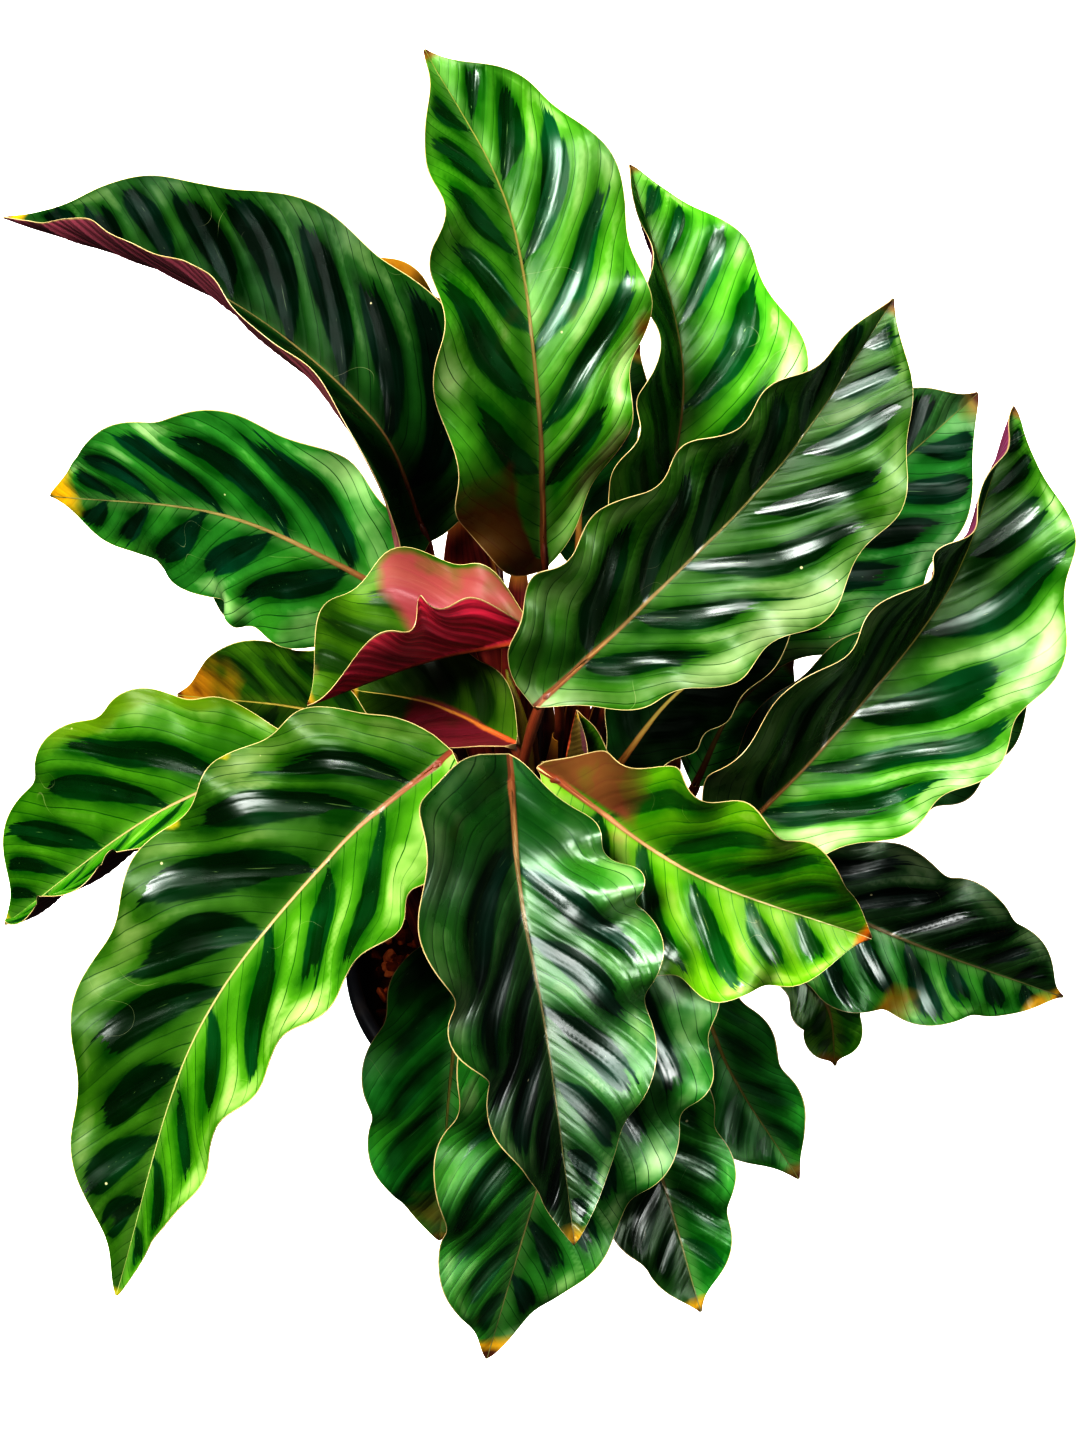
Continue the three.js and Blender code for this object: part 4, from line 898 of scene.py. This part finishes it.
def grow_leaf(leaf, number):
    """Bends a flat blade, a straight stalk and a flat sheath into the leaf, with what its materials read."""
    length = lengths_along(rib_curve(leaf["rib"], np.linspace(0, 1, 60))[0])[-1]
    shape = cut_blade(round(length / row_step), 2 * round(leaf["width"] / column_step / 2))
    ends = []
    for part in (cut_stalk(3), cut_blade(sheath_rows, sheath_columns, (4, 4, 4))):
        ends.append(len(shape.verts))
        take_in(shape, part)
    piece = keep_mesh(shape, "grown_" + leaf["name"], [
        waxy_upper(leaf, number), maroon_under(leaf), pale_margin, stalk_skin, sheath_skin])
    blade, rod, wrap = np.split(read_points(piece), ends)

    # Columns stand closer at the midrib; the first row is the neck and the last the tip.
    along = blade[:, 1].clip(0, 1)
    over = blade[:, 0].clip(-1, 1)
    over = np.sign(over) * (0.4 * np.abs(over) + 0.6 * over ** 2)
    near_along, near_over = along.clip(0.002, 0.998), np.where(np.abs(over) < 1e-4, 0, over)
    middle, up = blade_place(leaf, along, near_over)
    ahead, _ = blade_place(leaf, near_along + 0.002, near_over)
    behind, _ = blade_place(leaf, near_along - 0.002, near_over)
    rightward, _ = blade_place(leaf, near_along, near_over + 0.004)
    leftward, _ = blade_place(leaf, near_along, near_over - 0.004)
    facing = np.cross(rightward - leftward, ahead - behind)
    facing *= np.sign((facing * up).sum(1, keepdims=True))
    facing /= np.linalg.norm(facing, axis=1, keepdims=True)

    # The relief: a ridge and a keel along the midrib, pleats between the side veins, a ruffled margin.
    marks = blade_markings(leaf, number, along, near_over)
    count, _, along_mm = marks["vein_place"].T
    width = half_width(leaf, along, (near_over > 0).astype(int))
    reach = np.abs(near_over)
    out = reach * width
    rib_half = 0.22 + 1.2 * (1 - along) ** 1.6
    marks["leaf_share"] = np.stack((along, near_over, out / rib_half), 1)
    ridge = np.sqrt((1 - (out / rib_half) ** 2).clip(0)) * rib_half * 0.4
    keel = np.sqrt((1 - (out / (rib_half * 1.3)) ** 2).clip(0)) * keel_depth * (1 - along) ** 0.8
    pleat = (np.abs(np.sin(count * math.pi / veins_a_step)) - 0.6) * 1.5 * np.sin(math.pi * reach ** 0.8)
    pleat *= np.minimum(1, width / 18)
    ruffle = np.sin(along_mm / 5.3 + number) + np.sin(along_mm / 3.1 + 2 * number + 3 * near_over)
    ruffle = 0.35 * reach ** 2 * ruffle * np.minimum(1, width / 15)
    skin = blade_thickness / 2 * (1 - 0.4 * reach ** 8)
    lift = np.where(blade[:, 2] > -0.5, skin + ridge, -skin - keel) + pleat + ruffle
    blade_at = middle + facing * lift[:, None]

    line, stalk_length = stalk_line(leaf)
    rod_at = lay_rod(rod, line, stalk_girth)
    wrap_at = clasp(wrap, line, stalk_length, leaf["sheath"], number * turn_a_leaf)
    clasped = np.stack((wrap[:, 0], np.full(len(wrap), number), wrap[:, 1]), 1)
    placed = np.vstack((blade_at, rod_at, wrap_at))
    for field, values in marks.items():
        keep_floats(piece.data, field, np.concatenate((
            values, np.zeros((len(rod) + len(wrap), *values.shape[1:])))))
    move_points(piece, placed, np.vstack((np.zeros((len(blade), 3)), rod, clasped)))
    stand_for(piece, leaf["name"])


for number, leaf in enumerate(leaves):
    grow_leaf(usual | leaf, number)

# The spear
# The next leaf, still rolled tight round itself on a stalk of its own: olive gold outside, maroon below
# where the stalk runs up into it.
spear_belly, spear_tip, belly_radius, end_radius, belly_share = (-2, -1, 238), (-8, 7, 270), 2.8, 0.5, 0.75
x, y = stalk_feet["shoot_spear"]
ground = mix_dome(x, y, seat_radius)
knots = ((x, y, ground + 2), (x, y, ground + 50), spear_belly, spear_tip)
upper_line, _ = rib_curve(knots, np.linspace(0, 1, 80))
line, _ = space_out(np.vstack(((x, y, ground - hole_depth + seat_gap), upper_line)), 100)

rolled_skin = new_material("rolled_olive_spear")
climb = add(rolled_skin, "Attribute", take="Vector", attribute_name="stalk_place")
fibres = add(rolled_skin, "Mapping", {"Vector": climb, "Scale": (6, 6, 5)})
fibres = add(rolled_skin, "TexNoise", {"Vector": fibres, "Scale": 1, "Detail": 3})
height = add(rolled_skin, "SeparateXYZ", {0: climb}, take="Z")
mixed = add(rolled_skin, "Math", {0: fibres, 1: 0.3, 2: height}, operation="MULTIPLY_ADD")
golds = lay_colours(add(rolled_skin, "ValToRGB", {0: mixed}),
                    (0, "#4a3a1c"), (0.6, "#6a3424"), (0.85, "#a8862c"), (1, "#a8a03a"))
relief = add(rolled_skin, "Bump", {"Strength": 0.6, "Distance": 0.0003, "Height": fibres})
finish_material(rolled_skin, add(rolled_skin, "BsdfPrincipled", {
    "Base Color": golds, "Roughness": 0.38, "Normal": relief}))


def spear_radius(z):
    """The spear's radius from its foot to its tip: a stalk that swells where the blade is rolled."""
    stalk = stalk_radius + (belly_radius - stalk_radius) * z / belly_share
    point = belly_radius + (end_radius - belly_radius) * ((z - belly_share) / (1 - belly_share)) ** 2
    return np.where(z < belly_share, stalk, point)


spear = keep_mesh(cut_stalk(0), "rolled_spear", [rolled_skin])
flat = read_points(spear)
move_points(spear, lay_rod(flat, line, spear_radius), flat)
stand_for(spear, "shoot_spear")

# The old sheaths
# What earlier leaves have left in the crown: dry sheaths, each a thin gutter round where its stalk stood.
# One row a sheath: where it rises from the mix, two points that it passes, its top and its width.
old_sheaths = (
    ((-8, 31), (-13, 50, 165), (-20, 72, 225), (-24, 86, 263), 23),
    ((-2, 30), (-4, 42, 165), (-5, 57, 220), (-4, 70, 254), 12),
    ((11, 9), (13, 20, 150), (16, 28, 190), (17, 38, 224), 14),
    ((25, 4), (34, 10, 140), (44, 18, 180), (49, 28, 206), 16),
    ((-7, 12), (-8, 18, 150), (-9, 24, 185), (-9, 31, 211), 10),
)
old_rows, old_depth, old_seed = 30, 4, 40
for number, ((x, y), low, high, top, width) in enumerate(old_sheaths):
    line, _ = rib_curve(((x, y, mix_dome(x, y) - old_depth), low, high, top), np.linspace(0, 1, 60))
    gutter = cut_blade(old_rows, sheath_columns, (0, 0, 0))
    piece = keep_mesh(gutter, "old_sheath_" + str(number + 1), [sheath_skin])
    flat = read_points(piece)
    across, up_it, outer = flat[:, 0].clip(-1, 1), flat[:, 1].clip(0, 1), flat[:, 2] > -0.5
    half = width / 2 * np.minimum(1, 0.35 + up_it * 1.6) * np.sqrt(1 - up_it ** 7).clip(0.12)
    half *= 1 + 0.1 * np.abs(across) * np.sin(11 * up_it + number)
    bent = across * (1.5 - 0.5 * up_it)
    out = half + np.where(outer, sheath_thickness, 0)
    rod = np.stack((np.sin(bent) * out, (np.cos(bent) - 0.4) * out, up_it), 1)
    dried = np.stack((across, np.full(len(flat), number + old_seed), up_it), 1)
    move_points(piece, lay_rod(rod, line), dried)
    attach(piece, "root")

# The room
# A pale seamless floor that glows by itself and lights nothing. A high window on the left, of one lamp
# that lights and one that only shines in the wax, a soft box, cards that only shine, and faint walls of
# light behind and beside for the rear views. The camera looks down on the crown at 52 degrees.
floor_white = new_material("matt_white_paper")
where = add(floor_white, "TexCoord", take="Object")
tooth = add(floor_white, "TexNoise", {"Vector": where, "Scale": 400, "Detail": 2})
white = add(floor_white, "Mix", {0: tooth, 6: paint("#fbfbfa"), 7: paint("#f6f6f5")}, **blend)
finish_material(floor_white, add(floor_white, "BsdfPrincipled", {
    "Base Color": white, "Roughness": 0.9, "Emission Color": (1, 1, 1, 1), "Emission Strength": 0.85}))
shape = bmesh.new()
bmesh.ops.create_grid(shape, x_segments=4, y_segments=4, size=6000)
floor = keep_mesh(shape, "paper_floor", [floor_white], smooth=False)
floor.visible_diffuse = False
floor.visible_glossy = False

room = bpy.data.worlds.new("dim white room")
room.use_nodes = True
room.node_tree.nodes["Background"].inputs["Color"].default_value = (1, 1, 1, 1)
room.node_tree.nodes["Background"].inputs["Strength"].default_value = 0.04
bpy.context.scene.world = room

# One row a lamp: where it stands from the crown's middle, how far, its size and watts, and what it does.
middle = Vector((0.004, 0, 0.25))
for name, direction, distance, size, power, lights_up, shines in (
        ("window", (-0.45, -0.23, 0.86), 2.4, 1.1, 80, True, False),
        ("window in the wax", (-0.45, -0.23, 0.86), 2.4, 1.2, 70, False, True),
        ("soft box", (0.3, -0.6, 0.75), 2.2, 0.9, 8, True, True),
        ("right card", (0.38, -0.66, 0.62), 2, 0.8, 40, False, True),
        ("low card", (0.66, -0.74, 0.1), 2, 0.8, 28, False, True),
        ("back wall", (-0.25, 0.95, 0.12), 2.2, 1.6, 30, True, False),
        ("back wall in the wax", (-0.25, 0.95, 0.12), 2.2, 1.6, 4, False, True),
        ("side wall", (0.95, 0.3, 0.12), 2.2, 1.6, 14, True, False)):
    lamp = bpy.data.lights.new(name, "AREA")
    lamp.shape = "SQUARE"
    lamp.size = size
    lamp.energy = power
    holder = bpy.data.objects.new(name, lamp)
    holder.visible_diffuse = lights_up
    holder.visible_glossy = shines
    holder.location = middle + Vector(direction).normalized() * distance
    holder.rotation_euler = (middle - holder.location).to_track_quat("-Z", "Y").to_euler()
    bpy.context.scene.collection.objects.link(holder)

# The lens is as long as 2700 of the photograph's pixels, and the photograph is 1448 of them high.
look_down, camera_distance = math.radians(52), 0.9
lens = bpy.data.cameras.new("camera")
lens.sensor_width = 36
lens.lens = lens.sensor_width * 2700 / 1448
camera = bpy.data.objects.new("camera", lens)
camera.location = middle + camera_distance * Vector((0, -math.cos(look_down), math.sin(look_down)))
camera.rotation_euler = (middle - camera.location).to_track_quat("-Z", "Y").to_euler()
bpy.context.scene.collection.objects.link(camera)
bpy.context.scene.camera = camera
bpy.context.scene.view_settings.view_transform = "Standard"
bpy.context.scene.view_settings.look = "Very High Contrast"
